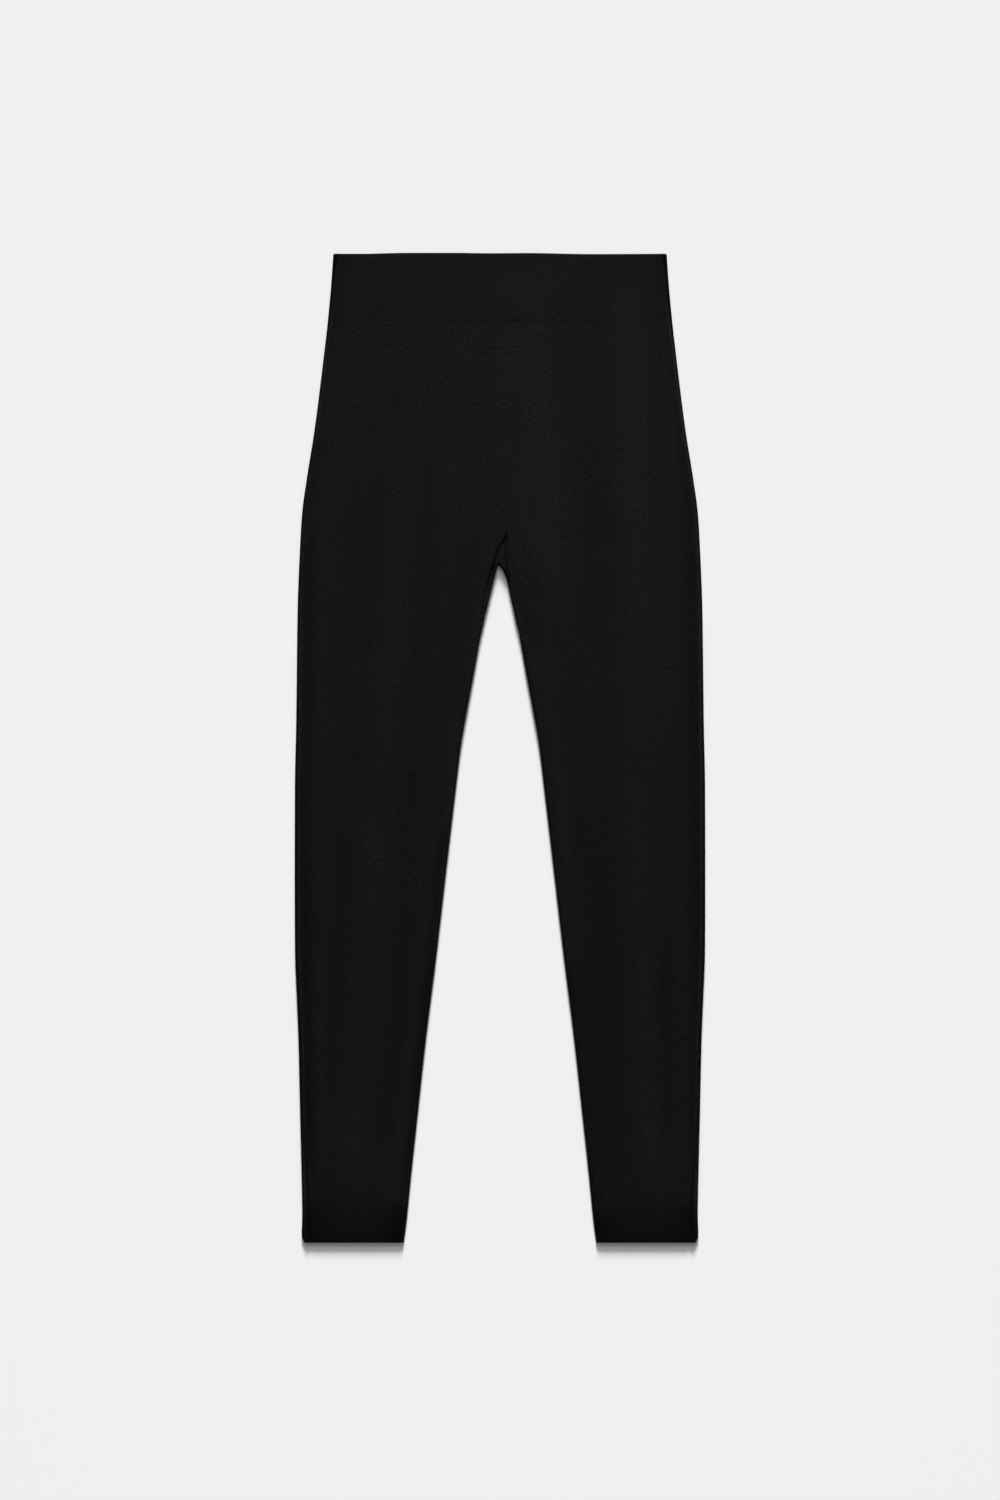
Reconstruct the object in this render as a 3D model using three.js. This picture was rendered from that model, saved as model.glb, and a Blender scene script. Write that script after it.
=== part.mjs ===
// High-waisted knit leggings, laid flat on their back with the legs a little apart.
// The garment is one flattened tube that splits into two legs. Its front lies on its back,
// rounded folds join the two at the sides and along the legs, and the underside is flat.
// Sizes are in millimetres. +X is to the right as the front is seen, +Y is towards the waist,
// +Z is up, and the origin is the middle of the footprint, on the surface that it lies on.
// "drop" is the distance down from the waist edge, and "side" is -1 on the left and 1 on the right.

import * as THREE from 'three';
import { mergeVertices } from 'three/addons/utils/BufferGeometryUtils.js';

// Driving dimensions
const LENGTH = 950;
const CLOTH = 1.2;
const BAND_WALL = 2 * CLOTH;
const SEAM_GAP = 0.3;
const FOLD_RADIUS = 3;
const FOLD_ARC = FOLD_RADIUS * Math.PI / 2;

// Half the garment's width, from its middle line to its outer edge.
const OUTER_EDGE = [
  { at: 'waist edge', drop: 0, x: 160.0 },
  { at: 'band middle', drop: 31, x: 162.2 },
  { at: 'band seam', drop: 66, x: 165.5 },
  { at: 'belly', drop: 112, x: 170.7 },
  { at: 'upper hip', drop: 170, x: 178.1 },
  { at: 'hip', drop: 216, x: 185.4 },
  { at: 'seat', drop: 250, x: 190.0 },
  { at: 'seat, fullest', drop: 285, x: 192.1 },
  { at: 'thigh', drop: 340, x: 194.2 },
  { at: 'low thigh', drop: 450, x: 195.6 },
  { at: 'above knee', drop: 510, x: 196.8 },
  { at: 'knee', drop: 600, x: 197.0 },
  { at: 'below knee', drop: 665, x: 196.8 },
  { at: 'calf', drop: 713, x: 195.0 },
  { at: 'calf middle', drop: 750, x: 193.5 },
  { at: 'low calf', drop: 817, x: 192.0 },
  { at: 'ankle', drop: 890, x: 190.3 },
  { at: 'above hem', drop: 921, x: 189.8 },
  { at: 'hem corner', drop: 943, x: 190.5 },
  { at: 'hem', drop: LENGTH, x: 187.6 },
];

// Half the gap between the legs, from the end of the gusset to the hem.
const INNER_EDGE = [
  { at: 'gusset end', drop: 352, x: 15.0 },
  { at: 'upper thigh', drop: 371, x: 19.4 },
  { at: 'thigh', drop: 402, x: 25.0 },
  { at: 'low thigh', drop: 437, x: 31.5 },
  { at: 'above knee', drop: 471, x: 37.4 },
  { at: 'knee', drop: 506, x: 41.7 },
  { at: 'below knee', drop: 575, x: 49.8 },
  { at: 'calf', drop: 679, x: 61.9 },
  { at: 'calf middle', drop: 748, x: 70.6 },
  { at: 'low calf', drop: 817, x: 78.2 },
  { at: 'ankle', drop: 886, x: 85.6 },
  { at: 'above hem', drop: 925, x: 89.4 },
  { at: 'hem', drop: LENGTH, x: 92.6 },
];

// Height of the front's face over the surface, in the middle of the cloth and over the folds.
const LOFT = [
  { at: 'waist edge', drop: 0, middle: 5.5, fold: 5.9 },
  { at: 'band seam', drop: 70, middle: 5.6, fold: 6.0 },
  { at: 'below band', drop: 110, middle: 4.4, fold: 5.4 },
  { at: 'thigh', drop: 420, middle: 4.3, fold: 5.3 },
  { at: 'calf', drop: 860, middle: 4.2, fold: 5.0 },
  { at: 'above hem', drop: 905, middle: 4.0, fold: 4.7 },
  { at: 'hem', drop: LENGTH, middle: 3.0, fold: 3.8 },
];

// How far inside the outer edge the side seam lies: it rolls to the front at waist and hem.
const SIDE_SEAM = [
  { at: 'waist edge', drop: 0, inset: 5.3 },
  { at: 'band middle', drop: 40, inset: 3.9 },
  { at: 'below band', drop: 85, inset: 2.0 },
  { at: 'low calf', drop: 800, inset: 2.0 },
  { at: 'ankle', drop: 870, inset: 4.4 },
  { at: 'above hem', drop: 915, inset: 6.4 },
  { at: 'hem', drop: LENGTH, inset: 7.0 },
];

// Where each inseam lies round the leg's inner fold: over the skin from its edge, + on the front.
const LEFT_INSEAM = [
  { at: 'gusset end', drop: 352, skin: 3.4 },
  { at: 'hem', drop: LENGTH, skin: 3.6 },
];
const RIGHT_INSEAM = [
  { at: 'gusset end', drop: 352, skin: -1.4 },
  { at: 'upper thigh', drop: 392, skin: 3.4 },
  { at: 'hem', drop: LENGTH, skin: 3.6 },
];

// Drop of the waist edge, which dips a little, and of the seam under the waistband.
const WAIST_EDGE = [
  { x: -128, drop: 0.9 },
  { x: -85, drop: 0 },
  { x: -45, drop: 0 },
  { x: -10, drop: 0.4 },
  { x: 25, drop: 0.2 },
  { x: 90, drop: 1.2 },
  { x: 160, drop: 0.9 },
];
const BAND_LEVEL = 66;
const BAND_SEAM = [
  { x: -170, drop: 66.2 },
  { x: -150, drop: 67.6 },
  { x: -122, drop: 70.4 },
  { x: -80, drop: 68.4 },
  { x: -40, drop: 68.0 },
  { x: -5, drop: 65.6 },
  { x: 170, drop: 66.0 },
];

// The gusset from left tail to right tail, a row for each section across the fold of the crotch.
// x and drop are the fold's edge, heading is the way into the cloth in degrees from +Y towards +X,
// and front and back are how far the seams lie from the edge, over the skin, - on the underside.
const GUSSET = [
  { x: -15.3, drop: 352.2, heading: -76, front: 4.3, back: 2.5 },
  { x: -13.6, drop: 345.5, heading: -75.5, front: 5.2, back: -1.5 },
  { x: -11.7, drop: 337.5, heading: -75, front: 5.9, back: -5.2 },
  { x: -8.8, drop: 325.3, heading: -73, front: 6.6, back: -7.7 },
  { x: -6.9, drop: 317.6, heading: -70, front: 6.7, back: -9.7 },
  { x: -4.9, drop: 309.9, heading: -62, front: 6.5, back: -10.7 },
  { x: -3.2, drop: 304.2, heading: -40, front: 7.0, back: -14.7 },
  { x: -2.2, drop: 301.3, heading: -16, front: 10.5, back: -21.7 },
  { x: -1.4, drop: 299.9, heading: 0, front: 17.5, back: -46.7 },
  { x: -0.4, drop: 300.7, heading: 12.5, front: 29.2, back: -29.7 },
  { x: 0.8, drop: 302.2, heading: 15.5, front: 18.5, back: -21.7 },
  { x: 3.0, drop: 305.2, heading: 22, front: 9.6, back: -15.7 },
  { x: 4.6, drop: 308.3, heading: 45, front: 4.4, back: -10.2 },
  { x: 6.4, drop: 313.5, heading: 64, front: 2.0, back: -9.7 },
  { x: 9.0, drop: 325.3, heading: 72, front: 0.8, back: -7.7 },
  { x: 12.0, drop: 339.5, heading: 74, front: 0.3, back: -5.4 },
  { x: 14.8, drop: 352.2, heading: 76, front: -0.5, back: -2.3 },
];
const APEX = { front: 9, back: 8 };
// The seams lean, and meet in a point at the apex, so the gap there is wider along X and Y.
const LEAN_SHARE = 1.25;
const TIP_SHARE = 3.3;

// The largest soft folds of the front: lines on the cloth, with how far they spread and rise.
const SOFT_FOLDS = [
  { at: 'right hip', x1: 106, drop1: 85, x2: 108, drop2: 265, spread: 56, rise: 1.0 },
  { at: 'belly', x1: 16, drop1: 75, x2: 24, drop2: 240, spread: 44, rise: 0.7 },
  { at: 'right of the crotch', x1: 38, drop1: 300, x2: 46, drop2: 345, spread: 32, rise: 0.5 },
  { at: 'right leg', x1: 109, drop1: 440, x2: 124, drop2: 860, spread: 48, rise: 0.9 },
  { at: 'left thigh', x1: -118, drop1: 225, x2: -118, drop2: 540, spread: 50, rise: 0.9 },
  { at: 'left calf', x1: -124, drop1: 600, x2: -157, drop2: 845, spread: 44, rise: 0.9 },
  { at: 'left inner thigh', x1: -70, drop1: 320, x2: -80, drop2: 575, spread: 28, rise: 0.5 },
  { at: 'left inner calf', x1: -83, drop1: 635, x2: -101, drop2: 820, spread: 26, rise: 0.5 },
  { at: 'left side', x1: -174, drop1: 185, x2: -175, drop2: 815, spread: 24, rise: 0.5 },
  { at: 'left of the waistband', x1: -148, drop1: 15, x2: -149, drop2: 85, spread: 26, rise: 0.35 },
  { at: 'left belly', x1: -86, drop1: 115, x2: -88, drop2: 165, spread: 34, rise: 0.4 },
  { at: 'right calf', x1: 150, drop1: 690, x2: 152, drop2: 830, spread: 30, rise: -0.4 },
];
const FOLD_FADE = 60;
const SIDE_FULLNESS = 7;
const INSEAM_FULLNESS = 6;

// Where the rows of points lie: down the waistband, with its rounded upper edge, and down the body.
const BAND_ROWS = [
  { share: 0, pinch: 0.6 },
  { share: 0.008, pinch: 0.2 },
  { share: 0.025, pinch: 0 },
  { share: 0.2, pinch: 0 },
  { share: 0.45, pinch: 0 },
  { share: 0.7, pinch: 0 },
  { share: 0.9, pinch: 0 },
  { share: 1, pinch: 0 },
];
const HIP_DROPS = [80, 100, 124, 152, 182, 212, 240];
const LEG_DROPS = [
  354, 368, 388, 415, 445, 478, 512, 548, 586, 626, 668,
  708, 748, 790, 832, 868, 895, 916, 932, 943, 949.2, LENGTH,
];
const HEM_PINCH = 0.35;

// Where the points of a row lie: over the skin from the ends of a front row, round the folds and
// on the underside of a back row, and round the gusset.
const FRONT_END = [0, 1.5, 4.5, 11];
const FRONT_MIDDLE = 8;
const BACK_ROUND = 6;
const BACK_PAST_FOLD = 1;
const BACK_STEP = 1.5;
const BACK_MIDDLE = 1;
const MIDDLE_LINE_SPREAD = 4;
const GUSSET_COLUMNS = 10;

const smooth = (t) => t * t * (3 - 2 * t);
const ramp = (at, low, high) => smooth(Math.min(1, Math.max(0, (at - low) / (high - low))));
const mix = (a, b, t) => a + (b - a) * t;

// A smooth curve through two columns of a table, which never swings past its rows.
function curve(table, from, to) {
  const u = table.map((row) => row[from]);
  const v = table.map((row) => row[to]);
  const rise = u.slice(1).map((end, i) => (v[i + 1] - v[i]) / (end - u[i]));
  const slope = v.map((_, i) => {
    const before = rise[i - 1] ?? rise[i];
    const after = rise[i] ?? before;
    return before * after <= 0 ? 0 : 2 * before * after / (before + after);
  });
  return (at) => {
    if (at <= u[0]) return v[0];
    if (at >= u.at(-1)) return v.at(-1);
    const i = u.findIndex((end) => end > at) - 1;
    const step = u[i + 1] - u[i];
    const t = (at - u[i]) / step;
    const bend = (1 - t) * slope[i] - t * slope[i + 1] + (2 * t - 1) * rise[i];
    return mix(v[i], v[i + 1], t) + t * (1 - t) * step * bend;
  };
}

const outerEdge = curve(OUTER_EDGE, 'drop', 'x');
const innerEdge = curve(INNER_EDGE, 'drop', 'x');
const middleLoft = curve(LOFT, 'drop', 'middle');
const foldLoft = curve(LOFT, 'drop', 'fold');
const sideSeam = curve(SIDE_SEAM, 'drop', 'inset');
const leftInseam = curve(LEFT_INSEAM, 'drop', 'skin');
const rightInseam = curve(RIGHT_INSEAM, 'drop', 'skin');
const waistEdge = curve(WAIST_EDGE, 'x', 'drop');
const bandSeam = curve(BAND_SEAM, 'x', 'drop');

// How much one soft fold lifts the cloth at a place.
function foldLift({ x1, drop1, x2, drop2, spread, rise }, x, drop) {
  const t = (drop - drop1) / (drop2 - drop1);
  const across = 2 * (x - mix(x1, x2, t)) / spread;
  const fade = ramp(drop, drop1 - FOLD_FADE, drop1) * (1 - ramp(drop, drop2, drop2 + FOLD_FADE));
  return rise * fade * Math.exp(-across * across);
}

// Height of the front's outer face. It is a little fuller beside the side folds and the inseams.
function upperFace(x, drop) {
  const fromSide = outerEdge(drop) - Math.abs(x) - FOLD_RADIUS;
  const fromInseam = Math.abs(x) - innerEdge(drop) - FOLD_RADIUS;
  const besideSide = Math.exp(-((fromSide / SIDE_FULLNESS) ** 2));
  const besideInseam = ramp(drop, 340, 440) * Math.exp(-((fromInseam / INSEAM_FULLNESS) ** 2));
  const full = Math.min(1, besideSide + besideInseam);
  const lift = SOFT_FOLDS.reduce((sum, fold) => sum + foldLift(fold, x, drop), 0);
  const fade = (1 - full) * ramp(LENGTH - drop, 0, 70) * ramp(drop, -30, 60);
  return mix(middleLoft(drop), foldLoft(drop), full) + lift * fade;
}

// A place on the front or the underside: its outer and inner point.
function onFront(x, drop, wall) {
  const z = upperFace(x, drop);
  return [{ x, drop, z }, { x, drop, z: z - wall }];
}

function onUnderside(x, drop, wall) {
  return [{ x, drop, z: 0 }, { x, drop, z: wall }];
}

// A place on a fold or past it. A fold's section is half an ellipse, and "skin" is the distance
// over it from the fold's edge, + over the front and - over the underside. The rows of a panel
// leave the fold sideways, to "beside", so that they don't cross next to the crotch.
function onFold({ x, drop, heading }, skin, wall, beside = 0) {
  const turn = THREE.MathUtils.degToRad(heading);
  const place = (into, z) => ({
    x: x + into * Math.sin(turn),
    drop: drop - into * Math.cos(turn),
    z,
  });
  const crown = place(FOLD_RADIUS);
  const past = Math.abs(skin) - FOLD_ARC;
  if (past >= 0) {
    const flat = beside ? { x: crown.x + beside * past, drop: crown.drop } : place(FOLD_RADIUS + past);
    return skin > 0 ? onFront(flat.x, flat.drop, wall) : onUnderside(flat.x, flat.drop, wall);
  }
  const half = upperFace(crown.x, crown.drop) / 2;
  const angle = skin / FOLD_RADIUS;
  return [0, wall].map((depth) => place(
    FOLD_RADIUS - (FOLD_RADIUS - depth) * Math.cos(angle),
    half + (half - depth) * Math.sin(angle),
  ));
}

// The distance over the skin to a line that lies "inset" inside the edge, seen from above.
function skinAt(inset) {
  return inset < FOLD_RADIUS
    ? FOLD_RADIUS * Math.acos(1 - inset / FOLD_RADIUS)
    : FOLD_ARC + inset - FOLD_RADIUS;
}

const outerFold = (side, drop) => ({ x: side * outerEdge(drop), drop, heading: -90 * side });
const innerFold = (side, drop) => ({ x: side * innerEdge(drop), drop, heading: 90 * side });
const inseam = (side, drop) => (side < 0 ? leftInseam(drop) : rightInseam(drop));

// The middle stretch of a row, evenly spaced between two places that are already set.
function between([from], [to], count, face, wall) {
  return Array.from({ length: count }, (_, i) => {
    const t = (i + 1) / (count + 1);
    return face(mix(from.x, to.x, t), mix(from.drop, to.drop, t), wall);
  });
}

// One row of a front piece, from the side seam in to its end, which is on a fold or on the flat.
function frontRow(side, drop, end, wall) {
  const start = skinAt(sideSeam(drop)) + SEAM_GAP / 2;
  const outer = FRONT_END.map((over) => onFold(outerFold(side, drop), start + over, wall, -side));
  const inner = FRONT_END.map((over) => (end.fold
    ? onFold(end.fold, end.skin + over, wall, side)
    : onFront(end.x + side * over * end.spread, end.drop, wall)));
  inner.reverse();
  return [...outer, ...between(outer.at(-1), inner[0], FRONT_MIDDLE, onFront, wall), ...inner];
}

// One row of a back piece, from the side seam round the side fold and under to its end.
function backRow(side, drop, end, wall) {
  const round = (fold, from, beside) => Array.from({ length: BACK_ROUND }, (_, i) => {
    const skin = mix(from, -FOLD_ARC - BACK_PAST_FOLD, i / (BACK_ROUND - 1));
    return onFold(fold, skin, wall, beside);
  });
  const outer = round(outerFold(side, drop), skinAt(sideSeam(drop)) - SEAM_GAP / 2, -side);
  const inner = end.fold
    ? round(end.fold, end.skin, side)
    : outer.map((_, i) => onUnderside(end.x + side * BACK_STEP * i * end.spread, end.drop, wall));
  inner.reverse();
  return [...outer, ...between(outer.at(-1), inner[0], BACK_MIDDLE, onUnderside, wall), ...inner];
}

// Where a panel's row ends at the gusset, or the gusset's own row ends at a panel: "out" is 1 for
// the panel and -1 for the gusset, which lie half the seam's gap to either side of it.
function gussetSeam(seam, index, out) {
  const row = GUSSET[index];
  const gap = out * SEAM_GAP / 2;
  if (Math.abs(row[seam]) <= FOLD_ARC) {
    const across = Math.abs(Math.sin(THREE.MathUtils.degToRad(row.heading)));
    return { fold: row, skin: row[seam] + (seam === 'front' ? gap : -gap) / across };
  }
  const [{ x, drop }] = onFold(row, row[seam], CLOTH);
  if (index === APEX[seam]) return { x, drop: drop - gap * TIP_SHARE, spread: 1 };
  return { x: x + Math.sign(index - APEX[seam]) * gap * LEAN_SHARE, drop, spread: 1 };
}

// The edge of a piece is rounded by bringing its outer and inner points together.
function pinched([outside, inside], share) {
  return [
    { ...outside, z: mix(outside.z, inside.z, share / 2) },
    { ...inside, z: mix(inside.z, outside.z, share / 2) },
  ];
}

// Half of a waistband piece, from its upper edge to its seam.
function halfBand(side, makeRow) {
  return BAND_ROWS.map(({ share, pinch }) => {
    const drop = share * BAND_LEVEL;
    const row = makeRow(side, drop, { x: 0, drop, spread: MIDDLE_LINE_SPREAD }, BAND_WALL);
    return row.map((pair) => pinched(pair, pinch).map((point) => ({
      ...point,
      drop: mix(waistEdge(point.x), bandSeam(point.x) - SEAM_GAP / 2, share),
    })));
  });
}

// Half of a body panel: from the waistband down its middle line to the gusset's apex, along the
// gusset's seam, and then down the leg along its inseam to the hem.
function halfPanel(side, makeRow, seam) {
  const apex = APEX[seam];
  const tip = gussetSeam(seam, apex, 1);
  const beside = GUSSET.map((_, index) => index).filter((index) => (index - apex) * side > 0);
  if (side < 0) beside.reverse();
  const clearance = (seam === 'front' ? 1 : -1) * SEAM_GAP / 2;

  const waist = { x: 0, drop: BAND_LEVEL, spread: MIDDLE_LINE_SPREAD };
  const top = makeRow(side, BAND_LEVEL, waist, CLOTH).map((pair) => pair.map((point) => ({
    ...point,
    drop: bandSeam(point.x) + SEAM_GAP / 2,
  })));
  const hip = [...HIP_DROPS.filter((drop) => drop < tip.drop - 8), tip.drop].map((drop) => {
    const x = tip.x * ramp(drop, BAND_LEVEL, tip.drop);
    return makeRow(side, drop, { x, drop, spread: MIDDLE_LINE_SPREAD }, CLOTH);
  });
  const crotch = beside.map((index) => {
    const end = gussetSeam(seam, index, 1);
    const { drop } = end.fold ? onFold(end.fold, end.skin, CLOTH)[0] : end;
    return makeRow(side, drop, end, CLOTH);
  });
  const leg = LEG_DROPS.map((drop) => {
    const end = { fold: innerFold(side, drop), skin: inseam(side, drop) + clearance };
    const row = makeRow(side, drop, end, CLOTH);
    return drop < LENGTH ? row : row.map((pair) => pinched(pair, HEM_PINCH));
  });
  return { rows: [top, ...hip, ...crotch, ...leg], joined: hip.length };
}

// The gusset's row at one section, from the front seam round the fold to the back seam.
function gussetRow(row, index) {
  const [front, back] = ['front', 'back'].map((seam) => gussetSeam(seam, index, -1));
  const from = Math.asinh((front.skin ?? row.front) / FOLD_RADIUS);
  const to = Math.asinh((back.skin ?? row.back) / FOLD_RADIUS);
  const places = Array.from({ length: GUSSET_COLUMNS + 1 }, (_, i) => {
    const skin = FOLD_RADIUS * Math.sinh(mix(from, to, i / GUSSET_COLUMNS));
    return onFold(row, skin, CLOTH);
  });
  if (!front.fold) places[0] = onFront(front.x, front.drop, CLOTH);
  if (!back.fold) places[GUSSET_COLUMNS] = onUnderside(back.x, back.drop, CLOTH);
  return places;
}

// The faces of a wall through a grid of places. The first "joined" steps of its last column are
// left open, because the other half of the piece goes on from there.
function wallFaces(grid, joined, flip) {
  const triangles = [];
  const corner = ({ x, drop, z }) => [x, LENGTH / 2 - drop, z];
  const quad = (...places) => {
    const [p, q, r, s] = places.map(corner);
    triangles.push(...(flip ? [p, r, q, p, s, r] : [p, q, r, p, r, s]));
  };
  const rim = (a, b) => quad(a[0], b[0], b[1], a[1]);
  const down = grid.length - 1;
  const across = grid[0].length - 1;
  for (let i = 0; i < down; i += 1) {
    const [row, next] = [grid[i], grid[i + 1]];
    for (let j = 0; j < across; j += 1) {
      quad(row[j][0], next[j][0], next[j + 1][0], row[j + 1][0]);
      quad(row[j][1], row[j + 1][1], next[j + 1][1], next[j][1]);
    }
    rim(next[0], row[0]);
    if (i >= joined) rim(row[across], next[across]);
  }
  for (let j = 0; j < across; j += 1) {
    rim(grid[0][j], grid[0][j + 1]);
    rim(grid[down][j + 1], grid[down][j]);
  }
  return triangles;
}

function meshOf(name, triangles, material) {
  const geometry = new THREE.BufferGeometry();
  geometry.setAttribute('position', new THREE.Float32BufferAttribute(triangles.flat(), 3));
  const merged = mergeVertices(geometry, 1e-4);
  merged.computeVertexNormals();
  const mesh = new THREE.Mesh(merged, material);
  mesh.name = name;
  return mesh;
}

function bandMesh(name, makeRow, leftFlip, material) {
  const joined = BAND_ROWS.length - 1;
  const left = wallFaces(halfBand(-1, makeRow), joined, leftFlip);
  const right = wallFaces(halfBand(1, makeRow), joined, !leftFlip);
  return meshOf(name, [...left, ...right], material);
}

function panelMesh(name, makeRow, seam, leftFlip, material) {
  const left = halfPanel(-1, makeRow, seam);
  const right = halfPanel(1, makeRow, seam);
  return meshOf(name, [
    ...wallFaces(left.rows, left.joined, leftFlip),
    ...wallFaces(right.rows, right.joined, !leftFlip),
  ], material);
}

const knit = new THREE.MeshStandardMaterial({ color: 0x151515, roughness: 0.92, metalness: 0 });
knit.name = 'black knit';
const bandKnit = knit.clone();
bandKnit.name = 'black knit, doubled';

const leggings = new THREE.Group();
leggings.name = 'leggings';
leggings.add(
  bandMesh('waistband_front', frontRow, false, bandKnit),
  bandMesh('waistband_back', backRow, true, bandKnit),
  panelMesh('front_panel', frontRow, 'front', false, knit),
  panelMesh('back_panel', backRow, 'back', true, knit),
  meshOf('gusset', wallFaces(GUSSET.map(gussetRow), 0, true), knit),
);

export default leggings;
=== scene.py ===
# %% [markdown]
# # Black knit leggings, laid flat
#
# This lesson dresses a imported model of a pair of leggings. The real pair is five pieces of knit:
# a doubled waistband in two halves, a front and a back that each hold both legs, and a narrow
# gusset in the crotch. It lies on its back on a table, so the front lies on the back, and rounded
# folds join the two along the sides and the insides of the legs.
#
# The model gives the frame: its solids say where each piece is and how long the pair is. Here each
# solid gets a finer shell on the same form, with its creases, its rolled seam edges, its stitches
# and its knit. Sizes are in millimetres until a mesh is made, and Blender's are in metres.

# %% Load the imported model
import math

import bpy
import numpy as np
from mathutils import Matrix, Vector


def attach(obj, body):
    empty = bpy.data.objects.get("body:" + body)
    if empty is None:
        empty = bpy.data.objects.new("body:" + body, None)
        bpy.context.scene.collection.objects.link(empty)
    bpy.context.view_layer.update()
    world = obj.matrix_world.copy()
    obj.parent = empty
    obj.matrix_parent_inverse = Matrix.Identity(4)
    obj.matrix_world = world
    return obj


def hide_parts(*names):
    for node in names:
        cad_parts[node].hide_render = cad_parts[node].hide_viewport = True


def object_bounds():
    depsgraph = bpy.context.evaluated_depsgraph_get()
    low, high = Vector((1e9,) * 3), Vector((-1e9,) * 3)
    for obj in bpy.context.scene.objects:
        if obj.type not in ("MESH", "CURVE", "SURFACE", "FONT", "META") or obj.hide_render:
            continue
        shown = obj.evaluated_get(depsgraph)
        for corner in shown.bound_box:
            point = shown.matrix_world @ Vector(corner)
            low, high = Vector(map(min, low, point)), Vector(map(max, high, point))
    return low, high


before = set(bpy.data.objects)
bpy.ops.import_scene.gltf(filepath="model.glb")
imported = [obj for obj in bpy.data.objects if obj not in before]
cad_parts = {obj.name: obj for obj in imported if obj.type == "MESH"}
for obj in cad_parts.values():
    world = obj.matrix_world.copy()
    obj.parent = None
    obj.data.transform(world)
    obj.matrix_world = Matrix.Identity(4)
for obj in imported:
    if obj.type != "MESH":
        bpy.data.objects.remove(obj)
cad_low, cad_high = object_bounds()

MM = 0.001
LENGTH = round((cad_high.y - cad_low.y) / MM)
print(f"{len(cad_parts)} solids, {LENGTH} mm from waist edge to hem")

# %% [markdown]
# ## The camera
#
# The leggings are seen straight from above, from far enough away that nothing looks slanted. A
# camera with no rotation looks down its own Z axis, which is just that. A long lens could also be
# replaced by an orthographic camera, but a photographer has a lens, and so has this scene. The
# picture is taller than wide, so the sensor's 36 mm lie along its height.

# %% Make the camera
CAMERA_HEIGHT = 4.0017
CAMERA_BELOW_MIDDLE = 0.0020
LENS = 100
SENSOR = 36

camera_data = bpy.data.cameras.new("camera")
camera_data.lens = LENS
camera_data.sensor_width = SENSOR
camera = bpy.data.objects.new("camera", camera_data)
camera.location = (0, -CAMERA_BELOW_MIDDLE, CAMERA_HEIGHT)
bpy.context.scene.collection.objects.link(camera)
bpy.context.scene.camera = camera
seen_height = CAMERA_HEIGHT * SENSOR / LENS
print(f"the camera sees {seen_height:.3f} m of the floor from top to bottom")

# %% [markdown]
# ## The cut of the leggings
#
# A pattern cutter would describe the pair by a few measures at each level. The tables below do the
# same. "Drop" is the distance down from the waist edge, and x is the distance from the middle
# line. A smooth curve goes through each table. It is a monotone cubic, because a plain spline would
# swing past its points and give the legs bumps that no one cut.

# %% Measures of the cut
CLOTH = 1.2
BAND_WALL = 2 * CLOTH
SEAM_GAP = 0.3
FOLD_RADIUS = 3
FOLD_ARC = FOLD_RADIUS * math.pi / 2
BAND_LEVEL = 66

# Drop, then half the garment's width.
OUTER_EDGE = [
    (0, 160.0), (31, 162.2), (66, 165.5), (112, 170.7), (170, 178.1), (216, 185.4), (250, 190.0),
    (285, 192.1), (340, 194.2), (450, 195.6), (510, 196.8), (600, 197.0), (665, 196.8),
    (713, 195.0), (750, 193.5), (817, 192.0), (890, 190.3), (921, 189.8), (943, 190.5),
    (LENGTH, 187.6),
]
# Drop, then half the gap between the legs.
INNER_EDGE = [
    (352, 15.0), (371, 19.4), (402, 25.0), (437, 31.5), (471, 37.4), (506, 41.7), (575, 49.8),
    (679, 61.9), (748, 70.6), (817, 78.2), (886, 85.6), (925, 89.4), (LENGTH, 92.6),
]
# Drop, then how high the front's face lies in the middle of the cloth, and over the folds.
MIDDLE_LOFT = [(0, 5.5), (70, 5.6), (190, 4.8), (420, 4.4), (860, 4.2), (905, 4.0), (LENGTH, 2.8)]
FOLD_LOFT = [(0, 5.9), (70, 6.0), (190, 5.5), (420, 5.3), (860, 4.9), (905, 4.4), (LENGTH, 2.8)]
# Drop, then how far inside the outer edge the side seam lies.
SIDE_SEAM = [(0, 5.3), (40, 3.9), (85, 2.0), (800, 2.0), (870, 4.4), (915, 6.4), (LENGTH, 7.0)]
# Drop, then how far over the skin each inseam lies from the leg's inner edge.
LEFT_INSEAM = [(352, 3.4), (LENGTH, 3.6)]
RIGHT_INSEAM = [(352, -1.4), (392, 3.4), (LENGTH, 3.6)]
# x, then the drop of the waist edge and of the seam under the waistband.
WAIST_EDGE = [(-128, 0.9), (-85, 0), (-45, 0), (-10, 0.4), (25, 0.2), (90, 1.2), (160, 0.9)]
BAND_SEAM = [
    (-170, 67.2), (-150, 68.8), (-122, 71.4), (-80, 69.8), (-40, 68.8), (-5, 66.8), (170, 67.3),
]


def smooth(t):
    return t * t * (3 - 2 * t)


def ramp(at, low, high):
    return smooth(np.clip((at - low) / (high - low), 0, 1))


def mix(a, b, t):
    return a + (b - a) * t


def curve(points):
    """A smooth curve through (at, value) points, which never swings past them."""
    at, value = np.array(points, float).T
    rise = np.diff(value) / np.diff(at)
    before = np.r_[rise[0], rise]
    after = np.r_[rise, rise[-1]]
    same_way = before * after > 0
    slope = np.where(same_way, 2 * before * after / np.where(same_way, before + after, 1), 0)

    def read(where):
        where = np.clip(where, at[0], at[-1])
        i = np.clip(np.searchsorted(at, where, side="right") - 1, 0, len(at) - 2)
        step = at[i + 1] - at[i]
        t = (where - at[i]) / step
        bend = (1 - t) * slope[i] - t * slope[i + 1] + (2 * t - 1) * rise[i]
        return mix(value[i], value[i + 1], t) + t * (1 - t) * step * bend

    return read


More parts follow.
